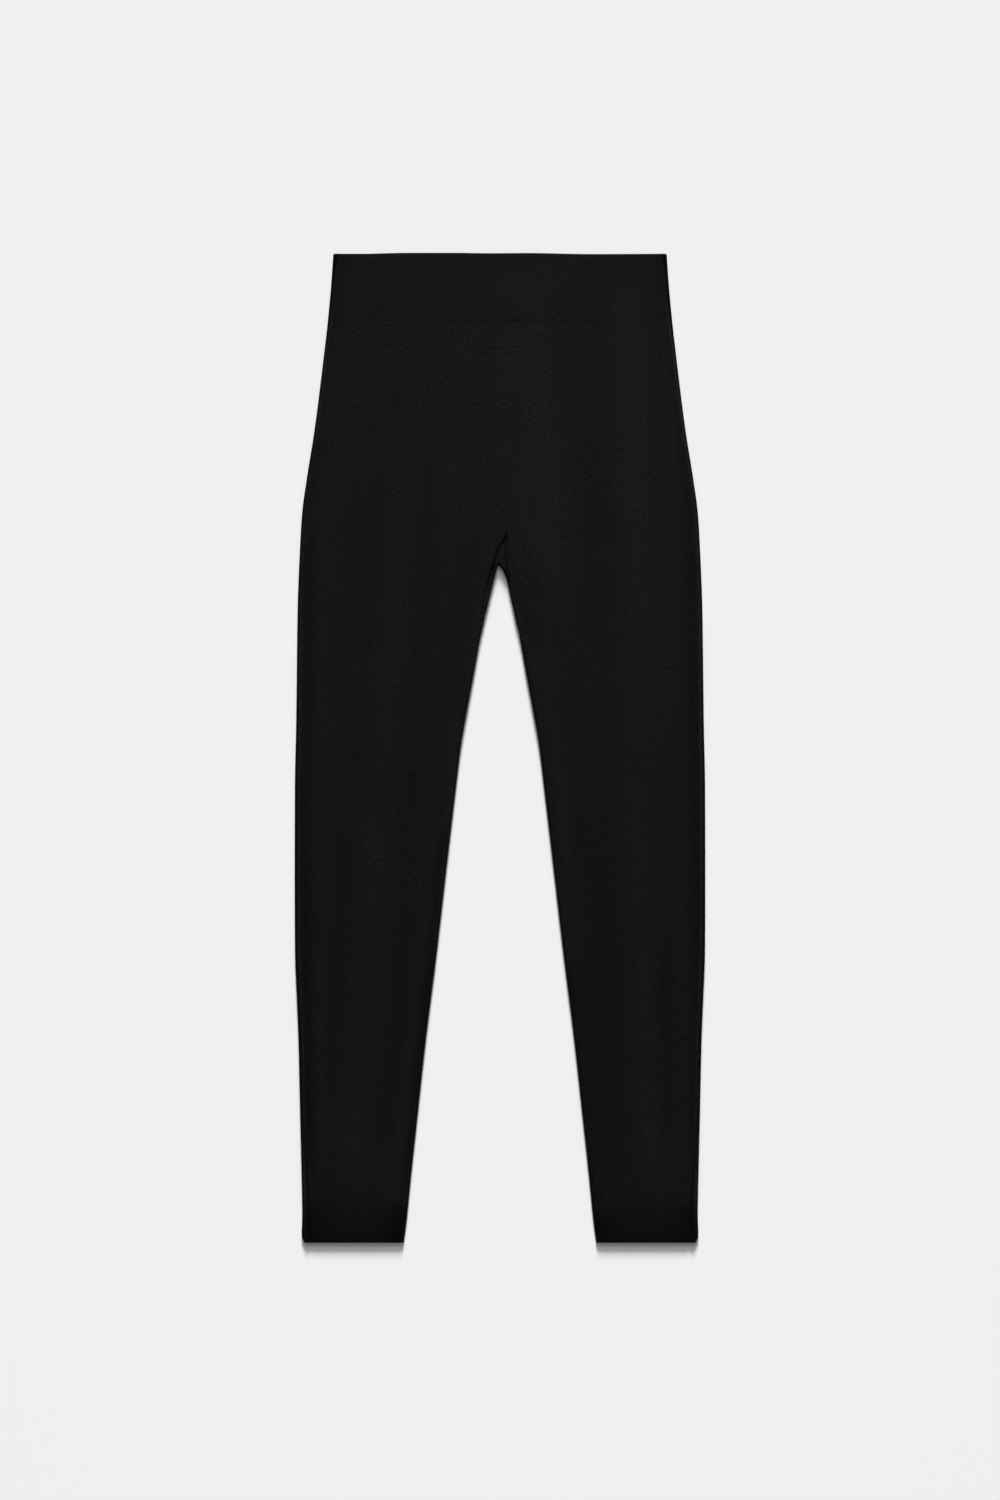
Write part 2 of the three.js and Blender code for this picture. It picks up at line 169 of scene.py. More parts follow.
outer_edge = curve(OUTER_EDGE)
inner_edge = curve(INNER_EDGE)
middle_loft = curve(MIDDLE_LOFT)
fold_loft = curve(FOLD_LOFT)
side_seam = curve(SIDE_SEAM)
left_inseam = curve(LEFT_INSEAM)
right_inseam = curve(RIGHT_INSEAM)
waist_edge = curve(WAIST_EDGE)
band_seam = curve(BAND_SEAM)
print(f"hips {2 * outer_edge(285):.0f} mm and each hem {outer_edge(950) - inner_edge(950):.0f} mm wide")

# %% [markdown]
# ## The gusset's seams
#
# The gusset is a narrow kite that goes through the crotch from front to back. Each row is a section
# across the fold of the crotch, from the left tail to the right tail. It gives the fold's edge, the
# way into the cloth in degrees from the waist's direction, and how far the front and back seams lie
# from that edge over the skin, with a minus sign on the underside. The seams come to a point, so
# the curve through their column is broken there, or the point would be blunt.

# %% Table of the gusset
# x, drop, heading, front seam, back seam
GUSSET = [
    (-15.3, 352.2, -76, 4.3, 2.5),
    (-13.6, 345.5, -75.5, 5.2, -1.5),
    (-11.7, 337.5, -75, 5.9, -5.2),
    (-8.8, 325.3, -73, 6.6, -7.7),
    (-6.9, 317.6, -70, 6.7, -9.7),
    (-4.9, 309.9, -62, 6.5, -10.7),
    (-3.2, 304.2, -40, 7.0, -14.7),
    (-2.2, 301.3, -16, 10.5, -21.7),
    (-1.4, 299.9, 0, 17.5, -46.7),
    (-0.4, 300.7, 12.5, 29.2, -29.7),
    (0.8, 302.2, 15.5, 18.5, -21.7),
    (3.0, 305.2, 22, 9.6, -15.7),
    (4.6, 308.3, 45, 4.4, -10.2),
    (6.4, 313.5, 64, 2.0, -9.7),
    (9.0, 325.3, 72, 0.8, -7.7),
    (12.0, 339.5, 74, 0.3, -5.4),
    (14.8, 352.2, 76, -0.5, -2.3),
]
APEX = {"front": 9, "back": 8}
LAST_STATION = len(GUSSET) - 1
LEAN_SHARE = 1.25
TIP_SHARE = 3.3

gusset_x, gusset_drop, gusset_heading = (
    curve([(i, row[column]) for i, row in enumerate(GUSSET)]) for column in range(3)
)


def seam_skins(seam, column):
    """The seam's distance over the skin at a station, as two curves that meet in the apex."""
    points = [(i, row[column]) for i, row in enumerate(GUSSET)]
    left = curve(points[: APEX[seam] + 1])
    right = curve(points[APEX[seam]:])
    return lambda station: left(station) if station <= APEX[seam] else right(station)


gusset_seams = {"front": seam_skins("front", 3), "back": seam_skins("back", 4)}
print(f"the gusset reaches {GUSSET[9][3]} mm up the front and {-GUSSET[8][4]} mm up the back")

# %% [markdown]
# ## Creases
#
# Nothing laid out by hand is flat. The front has long, soft folds that run down from the hips, and
# they differ in length, depth and spacing. A cloth simulation would invent other ones, so these
# were placed one by one: each row is a line down the cloth, with how far the fold spreads and how high
# it rises. The large ones are where the solids have them, in more detail, and the finer ones are
# added here. Two short creases under the waistband are pressed in, where the pair was folded for
# the shelf, and the crotch has a few drag lines, because cloth pulls towards the point where four
# seams meet.

# %% Tables of the creases
# x and drop of the upper end, x and drop of the lower end, spread, rise, fade past the ends
LARGE_FOLDS = [
    (107, 70, 110, 235, 54, 1.0, 50),
    (118, 310, 123, 445, 58, 0.6, 70),
    (115, 560, 125, 850, 50, 0.84, 80),
    (12, 60, 24, 225, 46, 0.8, 50),
    (36, 285, 46, 340, 34, 0.55, 45),
    (-113, 235, -119, 350, 48, 0.8, 45),
    (-121, 410, -135, 560, 40, 0.55, 50),
    (-140, 600, -158, 860, 46, 0.95, 70),
    (-62, 190, -67, 330, 32, 0.4, 50),
    (-70, 380, -79, 575, 28, 0.4, 50),
    (-81, 640, -101, 835, 26, 0.5, 50),
    (-86, 115, -90, 185, 38, 0.4, 50),
    (149, 690, 151, 850, 30, -0.4, 50),
]
FINE_FOLDS = [
    (-178, 300, -178, 430, 20, 0.14, 50),
    (-180, 580, -178, 840, 20, 0.2, 60),
    (-145, 15, -143, 135, 24, 0.2, 40),
    (-41, 95, -42, 150, 22, 0.16, 30),
    (-4, 60, 2, 160, 26, 0.22, 40),
    (156, 100, 160, 190, 18, 0.12, 40),
    (164, 600, 165, 865, 18, 0.16, 60),
    (30, 160, 46, 238, 20, 0.14, 30),
    (56, 395, 42, 420, 20, 0.2, 30),
    (48, 470, 60, 590, 22, 0.3, 40),
    (82, 420, 84, 560, 30, 0.25, 60),
    (-47, 400, -58, 500, 16, 0.12, 40),
    (-150, 360, -154, 510, 22, 0.14, 50),
    (-132, 720, -138, 880, 18, 0.1, 30),
    (-99, 840, -104, 895, 14, 0.16, 20),
    (139, 850, 142, 905, 26, 0.2, 25),
    (-60, 12, -58, 55, 30, 0.14, 20),
    (30, 8, 22, 58, 44, 0.3, 20),
    (112, 8, 108, 58, 44, 0.3, 20),
    (13, 262, 14, 294, 8, 0.14, 12),
    (20, 258, 31, 300, 9, 0.12, 16),
    (-12, 268, -9, 294, 8, 0.1, 12),
    (-24, 262, -15, 302, 10, 0.1, 16),
    (24, 322, 30, 352, 9, 0.12, 14),
    (-20, 322, -25, 356, 8, 0.1, 14),
]
# x of both ends, drop, depth
PRESSED_CREASES = [(-20, 16, 91.9, 0.12), (-17, 13, 99.1, 0.1)]
PRESSED_WIDTH = 1.5
PRESSED_FADE = 6
# The underside's own folds lift it a little off the surface.
UNDER_FOLDS = [
    (-120, 130, -112, 420, 46, 0.35, 60),
    (-30, 100, -24, 210, 36, 0.25, 50),
    (62, 120, 70, 230, 30, 0.2, 50),
    (128, 160, 120, 520, 50, 0.35, 60),
    (-96, 520, -124, 850, 34, 0.3, 50),
    (-160, 480, -164, 760, 26, 0.2, 50),
    (104, 610, 138, 860, 36, 0.3, 50),
    (166, 420, 170, 700, 24, 0.2, 50),
]


def lift(folds, x, drop):
    """How much the folds of a table lift the cloth at a place."""
    total = 0 * x
    for x1, drop1, x2, drop2, spread, rise, fade in folds:
        across = 2 * (x - mix(x1, x2, (drop - drop1) / (drop2 - drop1))) / spread
        along = ramp(drop, drop1 - fade, drop1) * (1 - ramp(drop, drop2, drop2 + fade))
        total = total + rise * along * np.exp(-across * across)
    return total


def pressed(x, drop):
    """How deep the pressed creases are at a place."""
    total = 0 * x
    for x1, x2, at, depth in PRESSED_CREASES:
        along = ramp(x, x1 - PRESSED_FADE, x1) * (1 - ramp(x, x2, x2 + PRESSED_FADE))
        total = total + depth * along * np.exp(-((drop - at) / PRESSED_WIDTH) ** 2)
    return total


print(f"{len(LARGE_FOLDS) + len(FINE_FOLDS)} soft folds on the front, {len(UNDER_FOLDS)} under it")

# %% [markdown]
# ## The two faces
#
# The front's face is a height over the table. It is fuller beside the folds, because bent knit
# springs back, and it sinks to the table at the hems, where little holds it up. The underside is
# flat, apart from its own faint folds.

# %% Heights of the front and the underside
SIDE_FULLNESS = 7
INSEAM_FULLNESS = 6
CROTCH_LEVELS = (340, 440)
HEM_FADE = 70
WAIST_FADE = (-30, 60)


def beside_folds(x, drop):
    """1 next to the side folds and the inseams, and 0 in the middle of the cloth."""
    from_side = outer_edge(drop) - abs(x) - FOLD_RADIUS
    from_inseam = abs(x) - inner_edge(drop) - FOLD_RADIUS
    side = np.exp(-((from_side / SIDE_FULLNESS) ** 2))
    inseam = ramp(drop, *CROTCH_LEVELS) * np.exp(-((from_inseam / INSEAM_FULLNESS) ** 2))
    return np.minimum(1, side + inseam)


def front_folds(x, drop):
    """How much the soft folds lift the front, which is nothing at its edges."""
    free = (1 - beside_folds(x, drop)) * ramp(LENGTH - drop, 0, HEM_FADE) * ramp(drop, *WAIST_FADE)
    return (lift(LARGE_FOLDS, x, drop) + lift(FINE_FOLDS, x, drop)) * free


def upper_face(x, drop):
    plain = mix(middle_loft(drop), fold_loft(drop), beside_folds(x, drop))
    return plain + front_folds(x, drop) - pressed(x, drop)


def lower_face(x, drop):
    free = (1 - beside_folds(x, drop)) * ramp(LENGTH - drop, 0, HEM_FADE)
    return lift(UNDER_FOLDS, x, drop) * free


belly_height = upper_face(np.array([0.0]), 150)[0]
print(f"the belly lies {belly_height:.1f} mm over the table")

# %% [markdown]
# ## Round the folds
#
# Where the front turns into the back, the knit's section is half an ellipse. One helper gives any
# point of it: "skin" is the distance over the cloth from the fold's edge, and "depth" is how far
# into the wall the point lies, so the same helper makes the outer face, the inner face and the
# edges that roll down into a seam.

# %% Points on and past a fold
def on_front(x, drop, depth):
    return np.stack(np.broadcast_arrays(x, drop, upper_face(x, drop) - depth), -1)


def on_underside(x, drop, depth):
    return np.stack(np.broadcast_arrays(x, drop, lower_face(x, drop) + depth), -1)


def on_fold(fold, skin, depth, beside=0):
    """Points at these distances over the skin. Rows of a panel leave the fold sideways."""
    x, drop, heading = fold
    into_x = math.sin(math.radians(heading))
    into_drop = -math.cos(math.radians(heading))
    skin = np.asarray(skin, float)
    past = np.maximum(0, abs(skin) - FOLD_ARC)
    crown_x = x + FOLD_RADIUS * into_x
    crown_drop = drop + FOLD_RADIUS * into_drop
    flat_x = crown_x + past * (beside or into_x)
    flat_drop = crown_drop + past * (0 if beside else into_drop)
    front = on_front(flat_x, flat_drop, depth)
    under = on_underside(flat_x, flat_drop, depth)

    half = float(upper_face(np.array([crown_x]), crown_drop)[0]) / 2
    angle = np.clip(skin, -FOLD_ARC, FOLD_ARC) / FOLD_RADIUS
    into = FOLD_RADIUS - (FOLD_RADIUS - depth) * np.cos(angle)
    height = half + (half - depth) * np.sin(angle)
    bent = np.stack([x + into * into_x, drop + into * into_drop, height], -1)
    flat = np.where((skin > 0)[..., None], front, under)
    return np.where((abs(skin) >= FOLD_ARC)[..., None], flat, bent)


def skin_at(inset):
    """The distance over the skin to a line that lies this far inside the edge, seen from above."""
    if inset < FOLD_RADIUS:
        return FOLD_RADIUS * math.acos(1 - inset / FOLD_RADIUS)
    return FOLD_ARC + inset - FOLD_RADIUS


def outer_fold(side, drop):
    return side * float(outer_edge(drop)), drop, -90 * side


def inner_fold(side, drop):
    return side * float(inner_edge(drop)), drop, 90 * side


def inseam(side, drop):
    return float(left_inseam(drop) if side < 0 else right_inseam(drop))


def gusset_fold(station):
    return float(gusset_x(station)), float(gusset_drop(station)), float(gusset_heading(station))


thigh_fold = on_fold(outer_fold(1, 400), np.linspace(FOLD_ARC, -FOLD_ARC, 9), 0)
print(f"the fold of the thigh is {np.ptp(thigh_fold[:, 2]):.1f} mm high")

# %% [markdown]
# ## Rows of points
#
# Each piece is woven from rows. A row of the front starts at the side seam and runs level to the
# middle line, to the gusset or to the inseam. A row of the back goes round the side fold first. Its
# points lie close together at a seam, where the edge rolls down to the stitches, and wider apart in
# the middle of the cloth. Subdividing a coarse cage would be shorter, but it would pull the edges
# away from each other, and the seams would gape.

# %% Spacing of the points of a row
FRONT_END = np.array([0, 0.2, 0.45, 0.75, 1.1, 1.5, 2, 2.6, 3.4, 4.5, 6, 8, 10.5, 13.5, 17.5])
FRONT_MIDDLE = 32
BACK_ROUND = 20
BACK_ROUND_POWER = 1.25
BACK_PAST_FOLD = 1
BACK_MIDDLE = 30
SEAM_SINK = 0.5
SEAM_ROLL = 1.1
# How deep the other seams pull, as shares of that. The waist seam also has a narrower gap.
WAIST_SEWN = 0.12
GUSSET_SEWN = 1.5
WAIST_GAP = 0.15
PUCKER = 0.09
PUCKER_REACH = 7
PUCKER_WAVES = ((16.3, 0.4), (26.9, 2.1))


def seam_sink(over):
    """How deep the cloth's face rolls down, this far from its sewn edge."""
    return SEAM_SINK * np.exp(-((over / SEAM_ROLL) ** 2))


def pucker(over, along):
    """The slight waves that sewing leaves in the knit, this far from the seam."""
    wave = sum(math.sin(along / length + shift) for length, shift in PUCKER_WAVES)
    return PUCKER * wave * np.exp(-((over / PUCKER_REACH) ** 2)) * (1 - np.exp(-over))


def away_from_end(steps, reach, even, count):
    """Distances from a row's end: as close as the steps, or spread evenly along the middle line."""
    evenly = reach * np.arange(len(steps)) / (len(steps) + count)
    return mix(steps, evenly, even)


def row_end(face, end, steps, depth, side, reach, count):
    """The points of a row next to its inner end, from the end outwards."""
    if "fold" in end:
        direction = 1 if face is on_front else -1
        return on_fold(end["fold"], end["skin"] + direction * steps, depth, side)
    away = away_from_end(steps, reach, end["even"], count)
    return face(end["x"] + side * away, end["drop"], depth)


def full_row(face, outer, inner, count, depth):
    """The whole row: the outer stretch, evenly spaced points, and the inner stretch."""
    share = (np.arange(count) + 1) / (count + 1)
    x = mix(outer[-1][0], inner[-1][0], share)
    drop = mix(outer[-1][1], inner[-1][1], share)
    return np.concatenate([outer, face(x, drop, depth), inner[::-1]])


# %% [markdown]
# A row gives two lines of points, one on the outer face and one on the inner face. Which of them
# rolls down at its ends, and how far, depends on what is sewn there.

# %% Rows of the front and of the back
def front_row(side, drop, end, depths):
    fold = outer_fold(side, drop)
    start = skin_at(float(side_seam(drop))) + SEAM_GAP / 2
    reach = abs(fold[0] - end.get("x", 0)) - start
    waves = pucker(FRONT_END, drop)
    layers = []
    for depth, is_face in zip(depths, (1, 0)):
        at_side = np.maximum(depth, is_face * seam_sink(FRONT_END)) + waves
        at_end = np.maximum(depth, is_face * end["sewn"] * seam_sink(FRONT_END)) + waves * end["sewn"]
        outer = on_fold(fold, start + FRONT_END, at_side, -side)
        inner = row_end(on_front, end, FRONT_END, at_end, side, reach, FRONT_MIDDLE)
        layers.append(full_row(on_front, outer, inner, FRONT_MIDDLE, depth))
    return layers


def back_row(side, drop, end, depths):
    fold = outer_fold(side, drop)
    share = (np.arange(BACK_ROUND) / (BACK_ROUND - 1)) ** BACK_ROUND_POWER
    past = -FOLD_ARC - BACK_PAST_FOLD
    start = skin_at(float(side_seam(drop))) - SEAM_GAP / 2
    from_side = (start - past) * share
    from_end = (end["skin"] - past if "fold" in end else start - past) * share
    reach = abs(fold[0] - end.get("x", 0)) - FOLD_RADIUS
    layers = []
    for depth, is_face in zip(depths, (1, 0)):
        at_side = np.maximum(depth, is_face * seam_sink(from_side))
        at_end = np.maximum(depth, is_face * end["sewn"] * seam_sink(from_end))
        outer = on_fold(fold, start - from_side, at_side, -side)
        inner = row_end(on_underside, end, from_end, at_end, side, reach, BACK_MIDDLE)
        layers.append(full_row(on_underside, outer, inner, BACK_MIDDLE, depth))
    return layers


hip_row, _ = front_row(1, 200.0, {"x": 0.0, "drop": 200.0, "even": 1, "sewn": 0}, (0, CLOTH))
print(f"a row of the front has {len(hip_row)} points, the closest {FRONT_END[1]} mm apart")

# %% [markdown]
# ## Halves of the pieces
#
# Each piece is made in two halves that share the middle line. A panel's half goes down the middle
# line from the waistband to the gusset's point, then along the gusset's seam, and then down the
# leg to the hem. The edges that aren't sewn are round: the waistband is folded over there, and the
# hem is turned up, so their last rows follow a quarter of a circle.

# %% Where a row ends at the gusset
def gusset_seam(seam, station, out):
    """The end of a panel's row, or with out = -1 of the gusset's own, beside the seam's gap."""
    fold = gusset_fold(station)
    skin = float(gusset_seams[seam](station))
    gap = out * SEAM_GAP / 2
    if abs(skin) <= FOLD_ARC:
        across = abs(math.sin(math.radians(fold[2])))
        toward = 1 if seam == "front" else -1
        return {"fold": fold, "skin": skin + toward * gap / across, "sewn": GUSSET_SEWN}
    x, drop, _ = on_fold(fold, [skin], 0)[0]
    if station == APEX[seam]:
        return {"x": x, "drop": drop - gap * TIP_SHARE, "even": 0, "sewn": GUSSET_SEWN}
    lean = math.copysign(gap * LEAN_SHARE, (station - APEX[seam]) * gap)
    return {"x": x + lean, "drop": drop, "even": 0, "sewn": GUSSET_SEWN}


# %% Rows of a waistband half and of a panel half
ROUND_STEPS = 6
ROUND_LAST = 0.9
SEAM_STEPS = (0, 0.25, 0.55, 0.95, 1.5, 2.2, 3.2, 4.6, 6.6, 9.2)
ROW_PITCH = 4.4
FINE_PITCH = 0.9
STATIONS_PER_ROW = 5
BAND_BEND = 34
EVEN_ABOVE_TIP = 50
CREASE_MARGIN = 4
LEG_TOP = 354


def rounded_rows(radius):
    """(distance from the free edge, how far the two faces have come together) of its last rows."""
    turn = np.linspace(0, ROUND_LAST, ROUND_STEPS) * math.pi / 2
    return [(radius * (1 - math.sin(t)), 1 - math.cos(t)) for t in turn]


def spaced(low, high, pitch):
    count = max(1, round((high - low) / pitch))
    return list(np.linspace(low, high, count + 1))


def half_band(side, make_row):
    """Rows of half of a waistband piece, from its folded edge down to its seam."""
    edge = [(away, pinch * BAND_WALL / 2) for away, pinch in reversed(rounded_rows(BAND_WALL / 2))]
    plain = [(drop, 0) for drop in spaced(edge[-1][0], BAND_LEVEL - SEAM_STEPS[-1], ROW_PITCH)[1:-1]]
    sewn = [(BAND_LEVEL - step, WAIST_SEWN * seam_sink(step)) for step in reversed(SEAM_STEPS)]
    rows = []
    for level, pinch in edge + plain + sewn:
        inside = BAND_WALL - (pinch if level < BAND_WALL else 0)
        end = {"x": 0.0, "drop": level, "even": 1, "sewn": 0}
        layers = make_row(side, level, end, (pinch, inside))
        for points in layers:
            top = waist_edge(points[:, 0])
            bottom = band_seam(points[:, 0]) - WAIST_GAP / 2
            points[:, 1] = mix(top, bottom, level / BAND_LEVEL)
        rows.append(layers)
    return rows, len(rows)


def half_panel(side, make_row, seam):
    """Rows of half of a body panel, and how many of them share the middle line."""
    tip = gusset_seam(seam, APEX[seam], 1)
    creased = PRESSED_CREASES[0][2] - CREASE_MARGIN, PRESSED_CREASES[-1][2] + CREASE_MARGIN
    under_seam = [BAND_LEVEL + step for step in SEAM_STEPS]
    levels = under_seam + spaced(under_seam[-1], creased[0], ROW_PITCH)[1:-1]
    levels += spaced(*creased, FINE_PITCH) + spaced(creased[1], tip["drop"], ROW_PITCH)[1:]
    rows = []
    for level in levels:
        even = 1 - ramp(level, tip["drop"] - EVEN_ABOVE_TIP, tip["drop"])
        x = tip["x"] * ramp(level, BAND_LEVEL, tip["drop"])
        sewn = GUSSET_SEWN * (level == levels[-1])
        end = {"x": x, "drop": level, "even": even, "sewn": sewn}
        layers = make_row(side, level, end, (WAIST_SEWN * seam_sink(level - BAND_LEVEL), CLOTH))
        bend = 1 - ramp(level, BAND_LEVEL, BAND_LEVEL + BAND_BEND)
        for points in layers:
            points[:, 1] += (band_seam(points[:, 0]) + WAIST_GAP / 2 - BAND_LEVEL) * bend
        rows.append(layers)
    joined = len(rows)

    last = LAST_STATION if side > 0 else 0
    steps = abs(last - APEX[seam]) * STATIONS_PER_ROW
    for station in np.linspace(APEX[seam], last, steps + 1)[1:]:
        end = gusset_seam(seam, station, 1)
        level = on_fold(end["fold"], [end["skin"]], 0)[0][1] if "fold" in end else end["drop"]
        rows.append(make_row(side, float(level), end, (0, CLOTH)))

    toward = SEAM_GAP / 2 if seam == "front" else -SEAM_GAP / 2
    hem = [(LENGTH - away, pinch * CLOTH / 2) for away, pinch in rounded_rows(CLOTH / 2)]
    leg = [(drop, 0) for drop in spaced(LEG_TOP, hem[0][0], ROW_PITCH)[:-1]]
    for level, pinch in leg + hem:
        end = {"fold": inner_fold(side, level), "skin": inseam(side, level) + toward, "sewn": 1}
        rows.append(make_row(side, level, end, (pinch, CLOTH - pinch)))
    return rows, joined


front_rows, _ = half_panel(1, front_row, "front")
print(f"half of the front has {len(front_rows)} rows of {len(front_rows[0][0])} points")

# %% [markdown]
# ## Light and dark places
#
# The cloth's light and dark are painted into its colour here, as painted light and shade. A slope
# of a fold that faces the right, where a weak light skims the cloth, is painted lighter and the other
# one darker. The cloth is painted darker where it turns round an edge or is pulled into a seam, with a
# painted highlight on the ridge along a seam. A shader could only guess where that is, so it is
# worked out here, in tables like those of the folds, and kept on the mesh as one value: 0 for plain
# knit, more for lighter and less for darker.

# %% Tones of the cloth
PAINTED_SHADING_NAME = "painted_shading"
# Painted shading: a slope of the folds that faces the right is made lighter, and the other one darker.
SLOPE_SHADING = 3.9
SLOPE_SHADING_STEP = 0.5
PAINTED_SHADING_LIMITS = (-0.92, 1.8)
UPPER_SIDE = (1.4, 2.8)
EDGE_FADE = 22
# Painted light and shade by the edges. Which edge, from and to what drop, how far inside it, how
# wide, and how much lighter or darker
PAINTED_EDGE_SHADING = [
    ("outer", 0, 4, 3.2, 2.0, -0.6),
    ("outer", 0, 30, 1.8, 1.6, -0.65),
    ("outer", 52, 62, 1.3, 1.2, -0.5),
    ("outer", 0, 80, 7.0, 6.0, -0.13),
    ("outer", 102, 165, 5.0, 3.5, -0.16),
    ("outer", 187, 250, 6.5, 6.0, -0.23),
    ("outer", 272, 700, 9.5, 6.5, -0.24),
    ("outer", 722, 870, 7.0, 5.0, -0.19),
    ("outer", 62, 850, 0.5, 1.1, -0.35),
    ("outer", 560, 800, 2.0, 1.3, -0.15),
    ("outer", 870, 950, 0.8, 0.9, -0.7),
    ("outer", 925, 950, 0, 20, -0.4),
    ("left inner", 352, 950, 0.4, 1.0, -0.3),
    ("left inner", 430, 500, 3.3, 1.0, -0.14),
    ("left inner", 440, 545, 5.8, 2.5, 0.16),
    ("left inner", 567, 660, 7.5, 4.0, -0.25),
    ("left inner", 682, 885, 3.5, 6.5, -0.37),
    ("left inner", 925, 950, 2, 15, -0.52),
    ("right inner", 312, 950, 0.4, 1.0, -0.4),
    ("right inner", 690, 900, 5.0, 6.0, -0.2),
    ("right inner", 930, 950, 0, 18, -0.42),
]
# Drop, then how much painted light and shade make the whole cloth lighter or darker
PAINTED_LEVEL_SHADING = [
    (66, 0.07), (140, 0.09), (230, 0.08), (290, 0.02), (430, 0.02), (530, -0.03), (620, -0.02),
    (715, -0.06), (815, 0.0), (865, 0.08), (888, 0.09), (915, 0.02), (LENGTH, 0.02),
]
# Drop, then how far inside the edge the ridge beside the side seam lies, and its painted highlight
SIDE_HIGHLIGHT_INSET = [
    (0, 5.2), (25, 4.1), (60, 3.5), (95, 2.3), (250, 2.3), (330, 2.8), (470, 3.7), (610, 4.1),
    (LENGTH, 4.1),
]
SIDE_RIDGE_HIGHLIGHT = [
    (0, 0.8), (80, 1.1), (100, 1.5), (160, 1.4), (200, 0.8), (250, 0.8), (300, 0.9),
    (370, 0.9), (440, 0.75), (650, 0.75), (720, 0.55), (860, 0.55), (890, 0.0), (LENGTH, 0.0),
]
# Drop, then the painted shade in the groove of the side seam, and the painted highlights on the ridges
# of the hem and the inseam
SIDE_GROOVE_SHADE = [(0, -0.1), (800, -0.1), (880, -0.7), (LENGTH, -0.8)]
HEM_RIDGE_HIGHLIGHT = [(0, 0.0), (850, 0.0), (890, 0.7), (LENGTH, 0.8)]
HEM_HIGHLIGHT_INSET = 2.1
INSEAM_RIDGE_HIGHLIGHT = [(310, 0.0), (330, 0.4), (560, 0.5), (640, 0.4), (700, 0.3), (LENGTH, 0.3)]
INSEAM_HIGHLIGHT_INSET = 2.2
HIGHLIGHT_WIDTH = 0.8
GROOVE_SHADE_WIDTH = 0.9
# Painted shade in the gusset's seam grooves: drop, then how much darker.
GUSSET_GROOVE_SHADE = [(262, 0.0), (267, 0.0), (272, -0.85), (308, -0.85), (318, -0.45), (344, 0.0)]
GUSSET_SHADE_WIDTH = 1.6
RIGHT_SHADE_SHARE = 0.55
GUSSET_REACH = (-34, 34, 262, 366)
# x, drop, half width, half height, and painted shading: painted light above 0, painted shade below
PAINTED_SPOTS = [
    (4.9, 274.0, 2.4, 2.6, -0.6),
    (-6.4, 305.0, 2.0, 5.0, -0.4),
    (4.8, 309.0, 2.2, 4.0, -0.5),
    (8.2, 313.0, 1.8, 6.0, -0.5),
    (29.0, 361.0, 8.0, 12.0, -0.09),
    (-105.0, 902.0, 7.0, 8.0, 0.1),
    (-99.0, 134.0, 14.0, 22.0, -0.05),
    (83.0, 134.0, 14.0, 22.0, -0.05),
    (-28.0, 27.0, 62.0, 11.0, 0.09),
    (45.0, 24.0, 34.0, 13.0, 0.08),
    (-145.0, 4.0, 46.0, 10.0, -0.12),
    (150.0, 4.0, 26.0, 10.0, -0.14),
    (24.0, 330.0, 9.0, 26.0, 0.08),
]
# Long soft streaks of painted light and shade on the folds, laid out like the folds: the last two
# values are the painted shading and the fade
PAINTED_STREAKS = [
    (-8, 55, -2, 150, 34, 0.22, 30),
    (2, 180, 22, 290, 32, 0.22, 30),
    (27, 180, 29, 215, 18, 0.08, 20),
    (40, 215, 48, 290, 28, 0.12, 30),
    (60, 200, 64, 270, 22, 0.06, 30),
    (87, 60, 88, 150, 26, 0.08, 30),
    (126, 130, 128, 190, 20, 0.06, 30),
    (147, 75, 148, 220, 18, -0.07, 30),
    (42, 345, 48, 400, 18, 0.13, 25),
    (50, 485, 62, 570, 14, 0.17, 30),
    (95, 440, 97, 530, 24, -0.08, 30),
    (118, 360, 132, 510, 34, 0.08, 30),
    (130, 240, 134, 330, 22, 0.14, 30),
    (147, 560, 146, 640, 18, -0.07, 30),
    (135, 835, 143, 880, 20, -0.09, 20),
    (-122, 60, -122, 150, 30, -0.06, 30),
    (-80, 85, -64, 165, 30, -0.1, 30),
    (-62, 195, -60, 400, 26, -0.1, 30),
    (-62, 430, -69, 500, 24, -0.14, 30),
    (-38, 290, -42, 430, 20, -0.08, 30),
    (-130, 160, -110, 235, 24, -0.1, 20),
    (-114, 225, -108, 310, 34, -0.08, 30),
    (-162, 440, -162, 560, 16, 0.08, 40),
    (-163, 600, -167, 660, 18, 0.15, 25),
    (-170, 685, -176, 870, 18, 0.18, 25),
    (-110, 690, -108, 830, 18, 0.08, 30),
    (-107, 862, -104, 895, 16, 0.2, 20),
    (-148, 740, -150, 840, 20, 0.06, 30),
]
OTHER_LEG = 1000
# Half the gap beside the gusset, where the cut's own table of the gap begins lower down.
ARCH_EDGE = [
    (301.3, 2.2), (304.2, 3.1), (309.9, 5.0), (317.6, 7.2), (325.3, 8.9), (337.5, 11.7),
]
arch_edge = curve(ARCH_EDGE + INNER_EDGE)
painted_level_shading = curve(PAINTED_LEVEL_SHADING)
side_highlight_inset, side_ridge_highlight = curve(SIDE_HIGHLIGHT_INSET), curve(SIDE_RIDGE_HIGHLIGHT)
side_groove_shade, hem_ridge_highlight = curve(SIDE_GROOVE_SHADE), curve(HEM_RIDGE_HIGHLIGHT)
inseam_ridge_highlight, gusset_groove_shade = curve(INSEAM_RIDGE_HIGHLIGHT), curve(GUSSET_GROOVE_SHADE)


def band(distance, width):
    """1 on a line and less beside it."""
    return np.exp(-((distance / width) ** 2))


